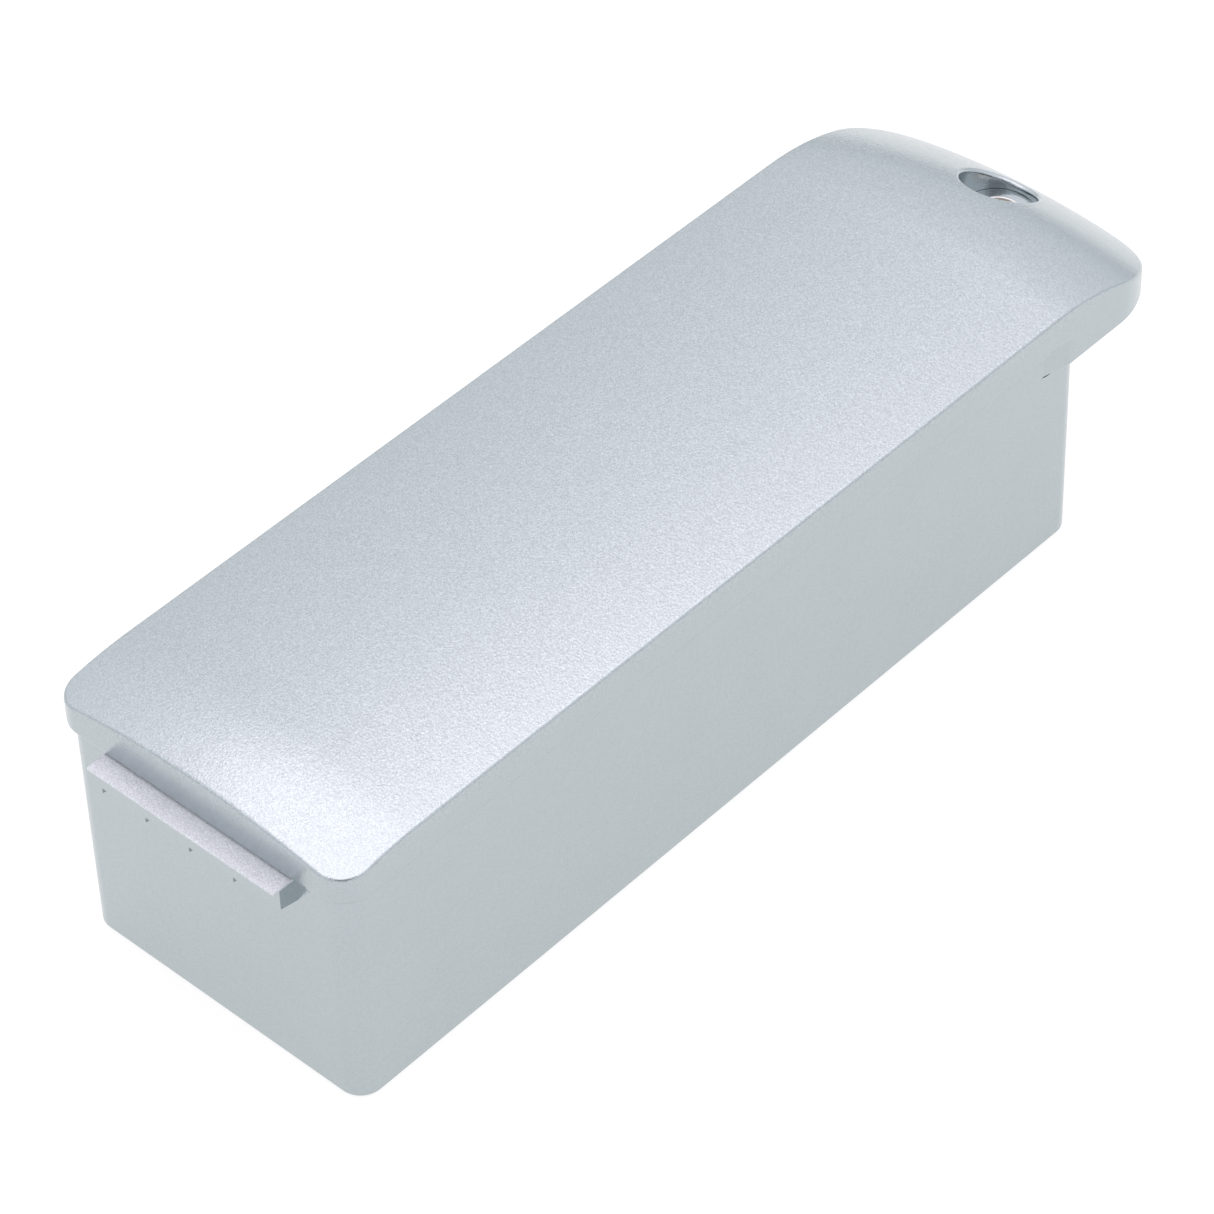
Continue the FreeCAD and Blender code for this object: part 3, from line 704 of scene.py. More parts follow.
# ------------------------------------------------------------------- the forms
@dataclass
class Form:
    """The shared outer form of the pack: plan outline and crowned roof."""

    rim_reach: float = 1.05 * MM
    tub_wall: float = 1.8 * MM
    tub_corner: float = 3.3 * MM
    crown_radius: float = 114.0 * MM
    tail_roll_start: float = 12.4 * MM
    tail_roll_radius: float = 57.0 * MM
    nose_roll_start: float = 133.6 * MM
    nose_roll_radius: float = 38.7 * MM
    nose_bow: float = 0.7 * MM
    nose_corner: float = 13.0 * MM
    parting: float = 35.7 * MM
    nose_underside: float = 31.4 * MM
    skirt_start: float = 136.4 * MM
    flare_start: float = 131.0 * MM
    flare_gap: float = 0.01 * MM
    tub_length: float = 140.0 * MM
    plate_top: float = 34.2 * MM
    steps_bow: int = 56
    steps_corner: int = 36
    steps_nose_side: int = 10
    steps_flare: int = 12
    steps_side: int = 124
    steps_near: int = 16
    steps_tail: int = 40
    tail: float = field(init=False)
    head: float = field(init=False)
    half: float = field(init=False)
    tip: float = field(init=False)
    crown: float = field(init=False)
    screw: Pair = field(init=False)

    def __post_init__(self) -> None:
        """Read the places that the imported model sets."""
        low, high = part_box("cover")
        self.tail = low[0] + self.rim_reach
        self.half = high[1]
        self.tip = high[0]
        self.crown = high[2]
        self.head = self.tail + self.tub_length
        low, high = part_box("screw_sleeve")
        self.screw = ((low[0] + high[0]) / 2, (low[1] + high[1]) / 2)

    def roof(self, x: Array, y: Array) -> Array:
        """Height of the roof.

        The ridge height less the sagitta of a circle across the width, less the
        fall of a second circle that begins at the roll towards either end.

        Args:
            x: Places along the pack.
            y: Places across it.

        Returns:
            Heights.
        """
        return self.crown - self.sagitta(self.crown_radius, y) - self.fall(x)

    @staticmethod
    def sagitta(radius: float, run: Array) -> Array:
        """Drop of a circle below its top: radius - sqrt(radius * radius - run * run).

        Args:
            radius: Radius of the circle.
            run: Distances to the side of its top.

        Returns:
            The drops.
        """
        return radius - np.sqrt(radius ** 2 - run ** 2)

    def runs(self, x: Array) -> Outline:
        """How far each x lies inside the tail's roll and inside the nose's.

        Args:
            x: Places along the pack.

        Returns:
            Both distances, nought outside the rolls.
        """
        along = x - self.tail
        return np.maximum(self.tail_roll_start - along, 0.0), np.maximum(along - self.nose_roll_start, 0.0)

    def fall(self, x: Array) -> Array:
        """How far the ridge has dropped at each x.

        Args:
            x: Places along the pack.

        Returns:
            The drop, nought between the two rolls.
        """
        tail_run, nose_run = self.runs(x)
        return self.sagitta(self.tail_roll_radius, tail_run) + self.sagitta(self.nose_roll_radius, nose_run)

    def slopes(self, x: Array, y: Array) -> Outline:
        """Slope of the roof along X and along Y.

        A circle of radius r has slope run / sqrt(r * r - run * run) at a run from its top.

        Args:
            x: Places along the pack.
            y: Places across it.

        Returns:
            Rise per metre along X, and along Y.
        """
        tail_run, nose_run = self.runs(x)
        rise = tail_run / np.sqrt(self.tail_roll_radius ** 2 - tail_run ** 2)
        rise = rise - nose_run / np.sqrt(self.nose_roll_radius ** 2 - nose_run ** 2)
        return rise, -y / np.sqrt(self.crown_radius ** 2 - y ** 2)

    def outline(self) -> Outline:
        """The plan outline, anticlockwise from the tip, with its outward normals.

        A wide arc over the tip, a corner arc, a straight side, a small corner arc and
        a straight tail, then the same mirrored.  Each arc is its centre plus radius
        times the normal, so moving every point back along its normal insets it.

        Returns:
            Points shaped (n, 2) and unit normals shaped (n, 2).
        """
        bow = (self.half ** 2 + self.nose_bow ** 2) / (2 * self.nose_bow)
        bow_x = self.tip - bow
        corner_y = self.half - self.nose_corner
        corner_x = bow_x + math.sqrt((bow - self.nose_corner) ** 2 - corner_y ** 2)
        turn = math.atan2(corner_y, corner_x - bow_x)
        near = self.tub_corner + self.rim_reach
        back = self.tail - self.rim_reach
        quarter = math.pi / 2
        parts = [
            self.arc((bow_x, 0.0), bow, 0.0, turn, self.steps_bow // 2),
            self.arc((corner_x, corner_y), self.nose_corner, turn, quarter, self.steps_corner),
            self.side(corner_x, back + near),
            self.arc((back + near, self.half - near), near, quarter, math.pi, self.steps_near),
            self.line((back, self.half - near), (back, 0.0), (-1.0, 0.0), self.steps_tail // 2),
        ]
        return whole_outline(parts, back)

    def side(self, x_from: float, x_to: float) -> Outline:
        """The straight side, with a close pair of columns where the skirt's flare starts.

        Args:
            x_from: Where the nose corner ends.
            x_to: Where the tail corner starts.

        Returns:
            Points and normals.
        """
        step = self.tail + self.flare_start
        first = np.linspace(x_from, self.tail + self.skirt_start, self.steps_nose_side, endpoint=False)
        second = np.linspace(self.tail + self.skirt_start, step + self.flare_gap, self.steps_flare)
        rest = np.linspace(step - self.flare_gap, x_to, self.steps_side, endpoint=False)
        x = np.concatenate([first, second, rest])
        points = np.column_stack([x, np.full(len(x), self.half)])
        return points, np.tile([0.0, 1.0], (len(x), 1))

    @staticmethod
    def arc(centre: Pair, radius: float, first: float, last: float,
            steps: int) -> Outline:
        """Points centre + radius * (cos a, sin a), without the last one.

        Args:
            centre: Middle of the arc.
            radius: Its radius.
            first: First angle.
            last: Angle at its end.
            steps: Number of points.

        Returns:
            Points and normals.
        """
        turn = np.linspace(first, last, steps, endpoint=False)
        normal = np.column_stack([np.cos(turn), np.sin(turn)])
        return np.array(centre) + radius * normal, normal

    @staticmethod
    def line(start: Pair, end: Pair, normal: Pair,
             steps: int) -> Outline:
        """Even points from start towards end, without the end.

        Args:
            start: First point.
            end: Point after the last.
            normal: Outward normal of the line.
            steps: Number of points.

        Returns:
            Points and normals.
        """
        share = np.linspace(0.0, 1.0, steps, endpoint=False)[:, None]
        points = np.array(start) + (np.array(end) - np.array(start)) * share
        return points, np.tile(normal, (steps, 1))


@dataclass
class CoverShell:
    """The upper shell: crowned roof, rim, nose skirt and screw boss, as one closed skin."""

    form: Form
    paint: Material
    wall: float = 2.0 * MM
    roof_thickness: float = 1.9 * MM
    pocket_skin: float = 1.0 * MM
    crease: float = 0.6 * MM
    rim_round: float = 0.65 * MM
    skirt_round: float = 0.25 * MM
    flare_edge: float = 1.30 * MM
    bore: float = 5.4 * MM
    mouth_round: float = 0.5 * MM
    boss: float = 7.0 * MM
    lap_gap: float = 0.1 * MM
    seat_gap: float = 0.05 * MM
    thin: float = 0.02 * MM
    widest: float = 2.5 * MM
    mouth_rows: int = 8
    crease_rows: int = 9
    rim_rows: int = 8
    foot_rows: int = 5
    roof_rows: int = 104

    def build(self) -> None:
        """Make the cover from its rings."""
        piece = skin_from("cover_shell", self.outer_rings() + self.inner_rings(), SHELL_CREASE)
        settle(piece, Slot.silver_paint.name, self.paint, ("cover",))

    def hole_ring(self, radius: float) -> Outline:
        """A circle round the screw axis, each point on the ray to its outline point.

        Args:
            radius: Radius of the circle.

        Returns:
            Points and outward directions, both shaped (n, 2).
        """
        points, _ = self.form.outline()
        ray = points - np.array(self.form.screw)
        ray = ray / np.linalg.norm(ray, axis=1, keepdims=True)
        return np.array(self.form.screw) + radius * ray, ray

    def rounded_to_roof(self, plan: Array, away: Array, radius: float, rows: int) -> list[Array]:
        """Rows of a rolled edge between an upright wall and the roof.

        In the upright plane along `away`, a circle touches the wall and the roof: its
        centre is one radius away from the wall and radius * sqrt(1 + m * m) below the
        roof, m being the roof's slope that way.  The rows run from the wall to the roof.

        Args:
            plan: Wall points, shaped (n, 2).
            away: Unit direction from the wall into the roof, shaped (n, 2).
            radius: Radius of the edge.
            rows: Number of rows.

        Returns:
            Rings of points, from the wall to the roof.
        """
        middle = plan + radius * away
        along_x, along_y = self.form.slopes(middle[:, 0], middle[:, 1])
        slope = along_x * away[:, 0] + along_y * away[:, 1]
        height = self.form.roof(middle[:, 0], middle[:, 1]) - radius * np.sqrt(1 + slope ** 2)
        rings = []
        upright = np.full(len(plan), math.pi)
        for turn in part_way(upright, math.pi / 2 + np.arctan(slope), np.linspace(0.0, 1.0, rows)):
            out = radius * (1 + np.cos(turn))
            rings.append(ring_at(plan + out[:, None] * away, height + radius * np.sin(turn)))
        return rings

    def outer_rings(self) -> list[Array]:
        """Rings from the foot of the screw bore over the roof to the rim's underside.

        Returns:
            Rings of points, each shaped (n, 3).
        """
        form = self.form
        points, normals = form.outline()
        bore, ray = self.hole_ring(self.bore)
        mouth = self.rounded_to_roof(bore, ray, self.mouth_round, self.mouth_rows)
        crease = self.rounded_to_roof(points, -normals, self.crease, self.crease_rows)[::-1]
        floor = ring_at(bore, form.plate_top + self.seat_gap)
        wall = part_way(floor, mouth[0], (0.0, 0.3, 0.65, 0.95))
        plans = part_way(mouth[-1][:, :2], crease[0][:, :2], self.roof_shares())
        roof = [ring_at(plan, form.roof(plan[:, 0], plan[:, 1])) for plan in plans]
        return wall + mouth + roof + crease + self.side_rings(crease[-1], points, normals)

    def roof_shares(self) -> Array:
        """Shares of the way from bore to edge: even, with close rows at both ends."""
        even = np.linspace(0.0, 1.0, self.roof_rows)[1:-1]
        return np.concatenate([[0.002], even, [0.9985]])

    def side_rings(self, top: Array, points: Array, normals: Array) -> list[Array]:
        """Rings down the rim, round its lower edge and down the nose skirt.

        The rim's lower edge is a quarter circle whose radius is the skirt's inset where
        that is smaller; below it the skirt drops at that inset to its own rounded foot.

        Args:
            top: Ring where the side starts.
            points: The outline.
            normals: Its outward normals.

        Returns:
            Rings of points.
        """
        parting = self.form.parting
        inset, low = self.skirt(points)
        radius = np.minimum(self.rim_round, inset)
        shown = np.clip(self.form.rim_reach - inset, 0.0, self.skirt_round)
        foot_round = np.where(low < parting, shown, 0.0)
        rim_low = np.minimum(parting, top[:, 2] - self.skirt_round)
        rim_foot = rim_low + radius
        rings = []

        def add(inward: Array, height: Array) -> None:
            """Add the outline moved in, at a height.

            Args:
                inward: How far each point moves in.
                height: Its height.
            """
            rings.append(ring_at(points - inward[:, None] * normals, height))

        for share in (0.06, 0.3, 0.6, 0.94):
            rings.append(ring_at(points, top[:, 2] + (rim_foot - top[:, 2]) * share))
        for turn in np.linspace(math.pi, 1.5 * math.pi, self.rim_rows):
            add(radius * (1 + math.cos(turn)), rim_foot + radius * math.sin(turn))
        for share in (0.0, 0.06, 0.5, 0.94):
            add(inset, rim_low + (low + foot_round - rim_low) * share)
        for turn in np.linspace(math.pi, 1.5 * math.pi, self.foot_rows):
            add(inset + foot_round * (1 + math.cos(turn)), low + foot_round * (1 + math.sin(turn)))
        return rings

    def skirt(self, points: Array) -> Outline:
        """Inset and lowest height of the skirt, which flares out before the nose.

        The inset falls in a straight line from the flare's thin end to nothing where
        the full skirt starts; nearer the tail there is only the rim.

        Args:
            points: The outline.

        Returns:
            Insets and heights.
        """
        form = self.form
        along = points[:, 0] - form.tail
        share = np.clip((form.skirt_start - along) / (form.skirt_start - form.flare_start), 0.0, 1.0)
        low = np.where(along > form.flare_start, form.nose_underside, form.parting)
        return self.flare_edge * share, low

    def inner_rings(self) -> list[Array]:
        """Rings back along the underside, up inside and over to the screw boss.

        Returns:
            Rings of points, each shaped (n, 3).
        """
        form = self.form
        points, normals = form.outline()
        inset, low = self.skirt(points)
        edge = np.maximum(self.underside_width(points), inset + self.thin)
        inner = np.maximum(edge, self.wall)

        def ring(inward: Array, height: Array) -> Array:
            """The outline moved in, at a height.

            Args:
                inward: How far each point moves in.
                height: Its height.

            Returns:
                The ring.
            """
            return ring_at(points - inward[:, None] * normals, height)

        top_plan = points - inner[:, None] * normals
        shelf = np.minimum(form.parting, self.ceiling(top_plan) - 2 * self.seat_gap) + self.seat_gap
        rings = [ring(edge - 4 * self.thin, low), ring(edge, low)]
        rings += [ring(edge, np.maximum(shelf - self.thin, low + self.thin / 2))]
        rings += [ring(inner, np.maximum(shelf, low + self.thin))]
        boss, _ = self.hole_ring(self.boss)
        for plan in part_way(top_plan, boss, (0.0, 0.01, 0.1, 0.25, 0.4, 0.55, 0.7, 0.85, 0.97, 1.0)):
            rings.append(ring_at(plan, self.ceiling(plan)))
        foot = np.minimum(form.plate_top + self.seat_gap, self.ceiling(boss) - self.thin)
        return rings + [ring_at(boss, foot)]

    def underside_width(self, points: Array) -> Array:
        """Width of the lower edge, up to the tub's wall or the nose plate.

        Along the tub it is the rim's reach less the lap gap; past the tub's corner it
        widens along that corner's arc until it reaches the plate's edge.

        Args:
            points: The outline.

        Returns:
            Widths.
        """
        form = self.form
        corner = form.tub_corner + self.lap_gap
        start = form.head + self.lap_gap - corner
        run = np.clip(points[:, 0] - start, 0.0, corner)
        reach = form.rim_reach - self.lap_gap + corner - np.sqrt(corner ** 2 - run ** 2)
        return np.minimum(reach, self.widest)

    def ceiling(self, plan: Array) -> Array:
        """Height of the inner surface: a full-thickness roof, or a thin skin over the plate.

        Args:
            plan: Places, shaped (n, 2).

        Returns:
            Heights.
        """
        form = self.form
        roof = form.roof(plan[:, 0], plan[:, 1])
        along_x, along_y = form.slopes(plan[:, 0], plan[:, 1])
        steepness = np.sqrt(1 + along_x ** 2 + along_y ** 2)
        skin = np.minimum(form.plate_top + self.seat_gap, roof - self.pocket_skin * steepness)
        return np.maximum(roof - self.roof_thickness * steepness, skin)


@dataclass
class TubShell:
    """The lower shell: floor, walls, lap lip and the window for the contact block."""

    form: Form
    paint: Material
    half: float = 24.2 * MM
    foot_round: float = 0.35 * MM
    lip_in: float = 1.05 * MM
    lip_height: float = 2.5 * MM
    window_half: float = 13.0 * MM
    window_low: float = 15.0 * MM
    window_high: float = 25.0 * MM
    margin: float = 0.2 * MM
    nose_margin: float = 0.5 * MM
    rim_drop: float = 0.3 * MM
    lip_drop: float = 0.2 * MM
    rim_edge: float = 0.1 * MM
    thin: float = 0.02 * MM
    rows_below: tuple[float, ...] = (2.0 * MM, 3.0 * MM, 9.0 * MM)
    rows_above: tuple[float, ...] = (28.0 * MM, 31.2 * MM, 33.4 * MM)
    rows_window: int = 5
    foot_rows: int = 7
    steps_corner: int = 14
    steps_window: int = 9
    steps_beside: int = 6
    steps_long: int = 40
    steps_tail: int = 12

    def outline(self) -> Outline:
        """A rounded rectangle from the middle of the nose wall, with normals.

        Four straight walls joined by quarter arcs; the nose wall has a close pair of
        columns at each edge of the window.

        Returns:
            Points and unit normals, both shaped (n, 2).
        """
        form = self.form
        corner = form.tub_corner
        quarter = math.pi / 2
        x1 = form.head - corner
        x0 = form.tail + corner
        y1 = self.half - corner
        beside = np.linspace(self.window_half, y1, self.steps_beside)[1:-1]
        nose_y = np.append(np.linspace(0.0, self.window_half, self.steps_window), beside)
        nose = np.column_stack([np.full(len(nose_y), form.head), nose_y])
        parts = [
            (nose, np.tile([1.0, 0.0], (len(nose_y), 1))),
            form.arc((x1, y1), corner, 0.0, quarter, self.steps_corner),
            form.line((x1, self.half), (x0, self.half), (0.0, 1.0), self.steps_long),
            form.arc((x0, y1), corner, quarter, math.pi, self.steps_corner),
            form.line((form.tail, y1), (form.tail, 0.0), (-1.0, 0.0), self.steps_tail),
        ]
        return whole_outline(parts, form.tail)

    def wall_heights(self) -> Array:
        """Rows shared by the outer and inner walls, with the window's edges among them."""
        window = np.linspace(self.window_low, self.window_high, self.rows_window)
        return np.concatenate([self.rows_below, window, self.rows_above])

    def build(self) -> None:
        """Make the tub from its rings, with the window cut through both walls."""
        form = self.form
        points, normals = self.outline()
        on_nose = points[:, 0] > form.head - form.tub_corner - self.nose_margin
        rim = np.where(on_nose, form.plate_top - self.rim_drop, form.parting)
        lip = np.where(on_nose, form.plate_top - self.lip_drop, form.parting + self.lip_height)
        middle = np.array([(form.tail + form.head) / 2, 0.0])
        heights = self.wall_heights()
        rings: list[Array] = []

        def add(inset: float, height: Array | float) -> None:
            """Add the outline moved in, at a height.

            Args:
                inset: How far all of it moves in.
                height: One height, or one for each point.
            """
            rings.append(ring_at(points - inset * normals, height))

        flat = points - (self.foot_round + self.margin) * normals
        rings += [ring_at(plan, 0.0) for plan in part_way(middle, flat, (0.0, 0.35, 0.7, 1.0))]
        for turn in np.linspace(1.5 * math.pi, math.pi, self.foot_rows):
            add(self.foot_round * (1 + math.cos(turn)), self.foot_round * (1 + math.sin(turn)))
        add(0.0, self.foot_round + self.margin)
        outer_first = len(rings)
        for height in heights:
            add(0.0, height)
        add(0.0, rim - self.rim_edge)
        add(self.thin, rim)
        add(self.lip_in, rim + self.thin / 2)
        add(self.lip_in, lip)
        add(form.tub_wall, lip)
        inner_last = len(rings) + len(heights) - 1
        for height in heights[::-1]:
            add(form.tub_wall, height)
        add(form.tub_wall, form.tub_wall)
        inside = points - form.tub_wall * normals
        rings += [ring_at(plan, form.tub_wall) for plan in part_way(middle, inside, (0.6, 0.0))]
        cols = len(points)
        quads = grid_faces(len(rings), cols, False, True)
        window_rows = [self.nearest(heights, self.window_low), self.nearest(heights, self.window_high)]
        # Only columns on the nose wall count, since any other is moved far off.
        off_wall = 10.0 * (form.head - points[:, 0])
        right = self.nearest(points[:, 1] + off_wall, self.window_half)
        keep = np.ones(quads.shape[:2], bool)
        across = np.concatenate([np.arange(cols - right, cols), np.arange(0, right)])
        outer_rows = outer_first + np.array(window_rows)
        inner_rows = inner_last - np.array(window_rows)
        keep[outer_rows[0]:outer_rows[1], across] = False
        keep[inner_rows[1]:inner_rows[0], across] = False
        faces = quads[keep].tolist() + self.reveal(outer_rows, inner_rows, across, cols)
        piece = solid_from("tub_shell", np.stack(rings), faces, SHELL_CREASE)
        settle(piece, Slot.silver_paint.name, self.paint, ("tub",))

    @staticmethod
    def nearest(values: Array, wanted: float) -> int:
        """Number of the value closest to the one wanted.

        Args:
            values: The values.
            wanted: The value to look for.

        Returns:
            Its number.
        """
        return int(np.argmin(np.abs(values - wanted)))

    @staticmethod
    def reveal(outer: Array, inner: Array, across: Array, cols: int) -> list[list[int]]:
        """Quads through the wall round the window.

        The window's border is walked once on the outer wall and once, point for point,
        on the inner wall, and each step gives one quad between them.

        Args:
            outer: First and last row of the window on the outer wall.
            inner: The same rows on the inner wall.
            across: Columns of the window's faces.
            cols: Number of columns in the grid.

        Returns:
            The quads.
        """
        columns = np.append(across, (across[-1] + 1) % cols)
        rows = np.arange(outer[1] - outer[0] + 1)
        walk_row = np.concatenate([np.zeros(len(columns) - 1, int), rows[:-1],
                                   np.full(len(columns) - 1, rows[-1]), rows[:0:-1]])
        walk_col = np.concatenate([columns[:-1], np.full(len(rows) - 1, columns[-1]),
                                   columns[:0:-1], np.full(len(rows) - 1, columns[0])])
        outside = (outer[0] + walk_row) * cols + walk_col
        inside = (inner[0] - walk_row) * cols + walk_col
        quads = np.stack([outside, np.roll(outside, -1), np.roll(inside, -1), inside], axis=-1)
        return quads.tolist()


@dataclass
class NosePlate:
    """The tub's flange inside the nose, which the screw clamps."""

    form: Form
    paint: Material
    inset: float = 2.6 * MM
    skin: float = 1.1 * MM
    seat: float = 3.5 * MM
    overlap: float = 0.6 * MM

    def build(self) -> None:
        """Make the plate as rings between the screw seat and its edge.

        Each point of the edge is an outline point moved in, held back to the tub's
        wall; the rings share the way from the seat to it, above and below.
        """
        form = self.form
        points, normals = form.outline()
        edge = points - self.inset * normals
        back = form.head - self.overlap
        centre = np.array(form.screw)
        ray = edge - centre
        reach = np.where(edge[:, 0] < back, (back - centre[0]) / np.minimum(ray[:, 0], -1e-9), 1.0)
        edge = centre + ray * reach[:, None]
        seat = centre + self.seat * ray / np.linalg.norm(ray, axis=1, keepdims=True)
        above = part_way(seat, edge, (0.0, 0.02, 0.2, 0.4, 0.6, 0.8, 0.98, 1.0))
        below = part_way(seat, edge, (1.0, 0.98, 0.5, 0.02, 0.0))
        rings = [ring_at(plan, self.top(plan)) for plan in above]
        piece = skin_from("nose_plate", rings + [ring_at(plan, form.nose_underside) for plan in below])
        settle(piece, Slot.silver_paint.name, self.paint)

    def top(self, plan: Array) -> Array:
        """Height of the plate: flat, falling with the roof towards the tip.

        Args:
            plan: Places, shaped (n, 2).

        Returns:
            Heights.
        """
        form = self.form
        along_x, along_y = form.slopes(plan[:, 0], plan[:, 1])
        under = form.roof(plan[:, 0], plan[:, 1]) - self.skin * np.sqrt(1 + along_x ** 2 + along_y ** 2)
        return np.minimum(form.plate_top, under)


@dataclass
class TailHook:
    """The hook on the tail wall: a thin plate over a bar, with four sloping ribs."""

    form: Form
    paint: Material
    reach: float = 3.9 * MM
    top: float = 35.6 * MM
    thickness: float = 0.45 * MM
    half: float = 16.1 * MM
    root: float = 0.4 * MM
    bar_reach: float = 2.95 * MM
    bar_foot: float = 32.0 * MM
    rib_reach: float = 2.75 * MM
    rib_foot: float = 30.75 * MM
    slope_deg: float = 12.0
    rib_pitch: float = 7.6 * MM
    rib_thickness: float = 0.95 * MM
    rib_in: float = 0.02 * MM
    ribs: int = 4
    easing: float = 0.08 * MM
    rib_easing: float = 0.06 * MM

    def build(self) -> None:
        """Make the plate, the bar and the ribs."""
        inside = self.top - self.thickness / 2
        plate = self.section(self.reach, self.top - self.thickness, self.top, 0.0)
        bar = self.section(self.bar_reach, self.bar_foot, inside, self.slope_deg)
        rib = self.section(self.rib_reach, self.rib_foot, inside, self.slope_deg)
        bar_half = self.half - self.rib_in
        pieces = [straight_bar("hook_plate", plate, -self.half, self.half, self.easing),
                  straight_bar("hook_bar", bar, -bar_half, bar_half, self.easing)]
        for step in range(self.ribs):
            last = self.half - step * self.rib_pitch - 2 * self.rib_in
            name = "hook_rib_%d" % (step + 1)
            pieces.append(straight_bar(name, rib, last - self.rib_thickness, last, self.rib_easing))
        # The hook plate gets the lighter copy of the paint: painted light on its top.
        plate_lit_copy = LIT_PLATE_PAINT.material()
        for piece in pieces:
            settle(piece, Slot.silver_paint.name, plate_lit_copy if piece.name == "hook_plate" else self.paint)

    def section(self, reach: float, foot: float, top: float, slope_deg: float) -> Array:
        """Side view of a bar on the tail wall, its underside falling towards the wall.

        Args:
            reach: How far it stands out from the wall.
            foot: Height of its lower front edge.
            top: Height of its top.
            slope_deg: Slope of the underside.

        Returns:
            Corners (x, z), shaped (4, 2).
        """
        front = self.form.tail - reach
        wall = self.form.tail + self.root
        fall = math.tan(math.radians(slope_deg)) * (wall - front)
        return np.array([(front, foot), (wall, foot - fall), (wall, top), (front, top)])


@dataclass
class ScrewSleeve:
    """The pressed-in metal sleeve that takes the screw's clamping force."""

    form: Form
    steel: Material
    outside: float = 3.5 * MM
    inside: float = 3.1 * MM
    easing: float = 0.12 * MM
    steps_lip: int = 6
    steps_round: int = 96

    def build(self) -> None:
        """Make the sleeve as a ring turned about the screw axis, with rounded lips."""
        low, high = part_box("screw_sleeve")
        base, top = low[2], high[2]
        e = self.easing
        corners = [(self.outside, base, 1.0, 0.0, -90.0), (self.outside, top, 1.0, 1.0, 0.0),
                   (self.inside, top, -1.0, 1.0, 90.0), (self.inside, base, -1.0, 0.0, 180.0)]
        profile = []
        for radius, height, out, up, first in corners:
            middle = np.array([radius - out * e, height + e if up == 0.0 else height - e])
            turn = np.radians(np.linspace(first, first + 90.0, self.steps_lip))
            profile.append(middle + e * np.column_stack([np.cos(turn), np.sin(turn)]))
        piece = revolved("screw_sleeve_turned", self.form.screw, np.concatenate(profile), self.steps_round)
        settle(piece, Slot.sleeve_steel.name, self.steel, ("screw_sleeve",))


# ------------------------------------------------------- pieces kept from the model
@dataclass
class KeptNodes:
    """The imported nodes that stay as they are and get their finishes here."""

    wardrobe: Wardrobe
    by_start: tuple[tuple[str, Slot], ...] = (
        ("cell_can_", Slot.cell_steel), ("cell_cap_", Slot.cell_steel), ("cell_roll_", Slot.electrode),
        ("cell_wrap_", Slot.wrap_film), ("insulating_rings", Slot.fibre), ("sheet_", Slot.fibre),
        ("cell_bracket_", Slot.bracket_plastic), ("nickel_", Slot.nickel),
        ("circuit_board", Slot.board_laminate),
        ("power_transistors", Slot.chip_black), ("controller_chip", Slot.chip_black),
        ("sense_resistor", Slot.resistor_body), ("thermistor", Slot.sensor_resin),
        ("contact_block", Slot.contact_housing), ("contact_blades", Slot.contact_gold),
        ("lead_cell_negative", Slot.lead_black), ("lead_cell_positive", Slot.lead_red),
        ("output_leads", Slot.lead_red), ("sense_leads", Slot.lead_white), ("foam_pads", Slot.foam),
        ("tub", Slot.silver_paint), ("cover", Slot.silver_paint), ("screw_sleeve", Slot.sleeve_steel),
    )

    def dress(self) -> None:
        """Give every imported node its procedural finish."""
        for name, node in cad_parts.items():
            slot = next(slot for start, slot in self.by_start if name.startswith(start))
            self.assign(node, self.wardrobe.for_slot(slot))
            LOG.info("node %s: slot %s", name, slot.name)

    @staticmethod
    def assign(node: Object, material: Material) -> None:
        """Put one material in every slot of the node's object, leaving its mesh alone.

        Args:
            node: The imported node's object.
            material: Its finish.
        """
        for holder in node.material_slots:
            holder.link = "OBJECT"
            holder.material = material


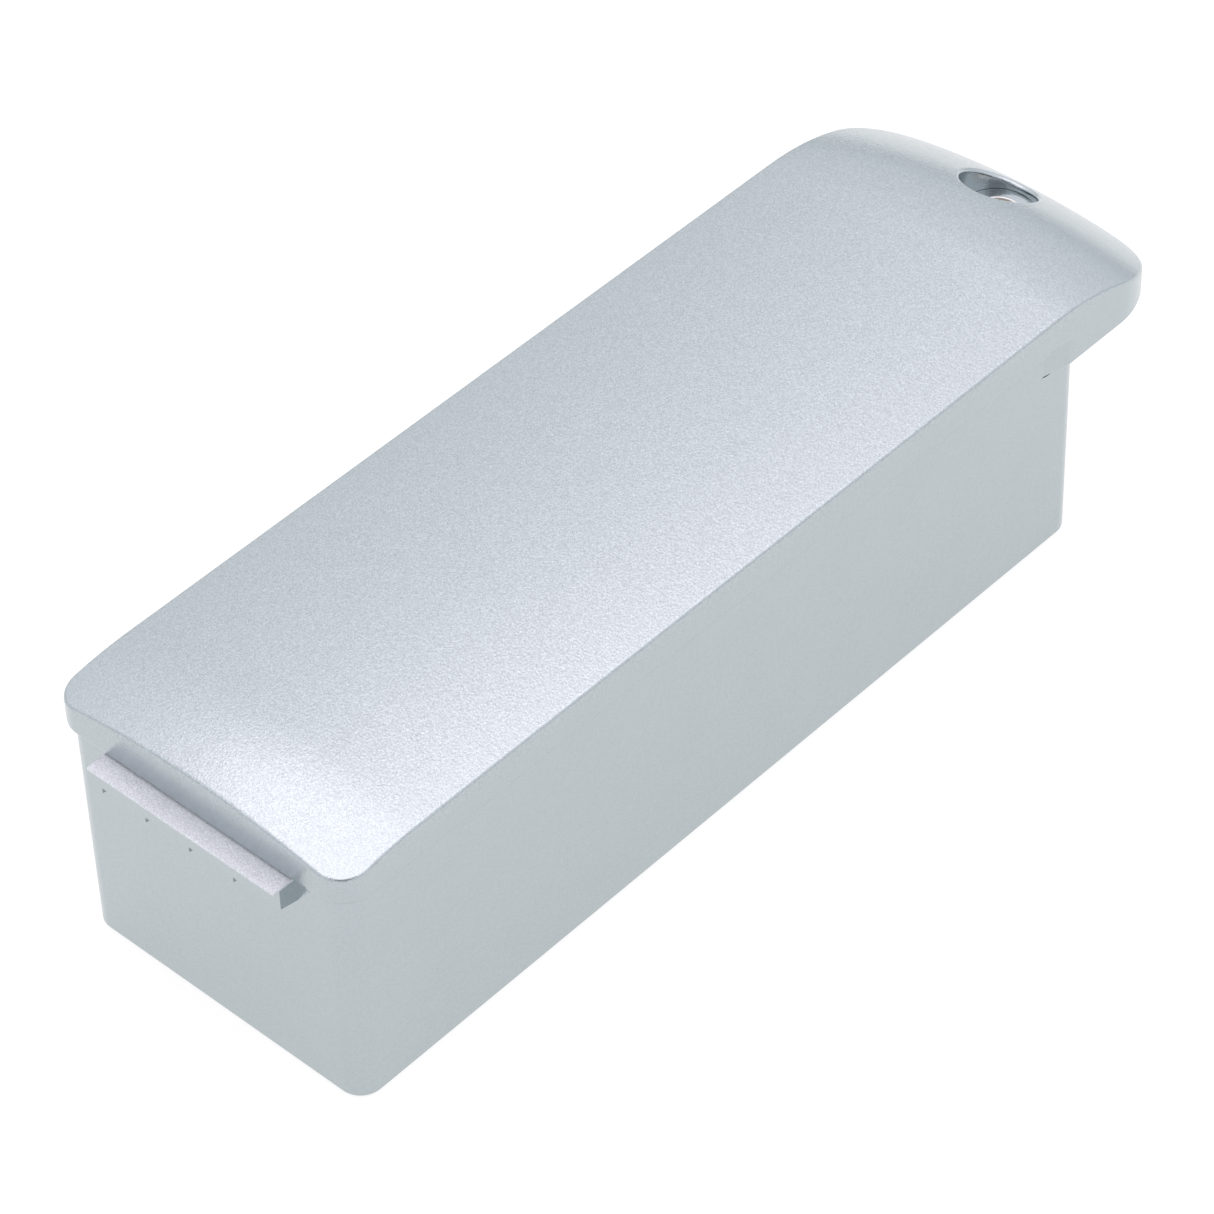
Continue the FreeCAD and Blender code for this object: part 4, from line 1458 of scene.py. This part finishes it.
# ----------------------------------------------------------------------- studio
@dataclass
class Studio:
    """Pale floor, soft light and the camera."""

    camera_at: Triple = (-0.347615, -0.32647, 0.47007)
    looks: Triple = (0.52195, 0.49910, -0.69171)
    right: Triple = (0.67302, -0.73919, -0.02552)
    lens: float = 148.35
    film: float = 36.0
    clip: Pair = (0.01, 20.0)
    lamp_at: Triple = (0.05, -0.1, 1.4)
    lamp_size: float = 1.6
    lamp_power: float = 3.2
    lamp_colour: Colour = (1.0, 0.95, 0.99)
    floor_colour: Colour = (0.20, 0.20, 0.20)
    floor_glow: float = 0.815
    floor_half: float = 3.0
    floor_gap: float = 0.2 * MM
    floor_cloud: float = 0.4
    sky_strength: float = 1.8
    dark_side: Triple = (-0.54, -0.52, 0.66)
    dark_from: float = 0.86
    dark_to: float = 0.97
    dark_share: float = 0.35
    sky_by_height: tuple[tuple[float, Colour], ...] = (
        (0.0, (0.45, 0.48, 0.53)), (0.05, (0.70, 0.74, 0.80)), (0.16, (1.00, 1.02, 1.05)),
        (0.40, (1.10, 1.09, 1.13)), (0.70, (1.28, 1.24, 1.31)),
        (0.85, (1.58, 1.47, 1.54)), (1.0, (1.65, 1.54, 1.60)),
    )

    def build(self) -> None:
        """Make the floor, the light and the camera."""
        self.floor()
        self.sky()
        self.lamp()
        self.camera()

    def floor(self) -> None:
        """A pale floor with a faint unevenness, outside the object."""
        half = self.floor_half
        down = -self.floor_gap
        corners = [(-half, -half, down), (half, -half, down), (half, half, down), (-half, half, down)]
        mesh = bpy.data.meshes.new("floor")
        mesh.from_pydata(corners, [], [[0, 1, 2, 3]])
        floor = bpy.data.objects.new("floor", mesh)
        bpy.context.scene.collection.objects.link(floor)
        material = bpy.data.materials.new("pale_floor")
        board = Board(material)
        cloud = board.noise(self.floor_cloud, 2.0)
        colour = board.cloudy(cloud, self.floor_colour, tuple(part + 0.01 for part in self.floor_colour))
        board.finish(colour, board.span(cloud, 0.7, 0.8), board.relief(cloud, 0.01 * MM),
                     Emission_Color=(1.0, 1.0, 1.0, 1.0), Emission_Strength=self.floor_glow)
        mesh.materials.append(material)

    def sky(self) -> None:
        """A studio surround that is brightest overhead and dims towards the walls."""
        world = bpy.data.worlds.new("studio")
        bpy.context.scene.world = world
        board = Board(world)
        way = board.coordinates["Generated"]
        height = board.node("SeparateXYZ", way).outputs["Z"]
        stops = [(place, tuple(part / self.sky_strength for part in colour))
                 for place, colour in self.sky_by_height]
        towards = board.node("VectorMath", way, self.dark_side, operation="DOT_PRODUCT").outputs["Value"]
        shade = board.span(towards, 1.0, self.dark_share, self.dark_from, self.dark_to)
        dimmed = board.node("VectorMath", board.ramp(height, stops), operation="SCALE")
        board.feed(dimmed.inputs["Scale"], shade)
        light = board.node("Background", dimmed.outputs["Vector"], self.sky_strength)
        board.node("OutputWorld", light.outputs["Background"])

    def lamp(self) -> None:
        """A square soft box that hangs over the pack and points at it."""
        data = bpy.data.lights.new("soft_top", "AREA")
        data.size = self.lamp_size
        data.energy = self.lamp_power
        data.color = self.lamp_colour
        lamp = bpy.data.objects.new("soft_top", data)
        lamp.location = self.lamp_at
        lamp.rotation_euler = (-Vector(self.lamp_at)).to_track_quat("-Z", "Y").to_euler()
        bpy.context.scene.collection.objects.link(lamp)

    def camera(self) -> None:
        """The camera, from its place, line of sight and rightward direction."""
        data = bpy.data.cameras.new("camera")
        data.lens = self.lens
        data.sensor_width = self.film
        data.clip_start, data.clip_end = self.clip
        camera = bpy.data.objects.new("camera", data)
        bpy.context.scene.collection.objects.link(camera)
        back = -Vector(self.looks).normalized()
        right = Vector(self.right).normalized()
        up = back.cross(right)
        turned = Matrix((right, up, back)).transposed().to_4x4()
        camera.matrix_world = Matrix.Translation(self.camera_at) @ turned
        bpy.context.scene.camera = camera
        view = bpy.context.scene.view_settings
        view.view_transform = "Standard"
        view.look = "None"


def main() -> None:
    """Build the pack, piece by piece, then the studio."""
    logging.basicConfig(level=logging.INFO, format="%(name)s: %(message)s")
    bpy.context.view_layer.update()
    wardrobe = Wardrobe()
    KeptNodes(wardrobe).dress()
    form = Form()
    paint = wardrobe.for_slot(Slot.silver_paint)
    for kind in (CoverShell, TubShell, NosePlate, TailHook):
        kind(form, paint).build()
    ScrewSleeve(form, wardrobe.for_slot(Slot.sleeve_steel)).build()
    Studio().build()


if __name__ == "__main__":
    main()
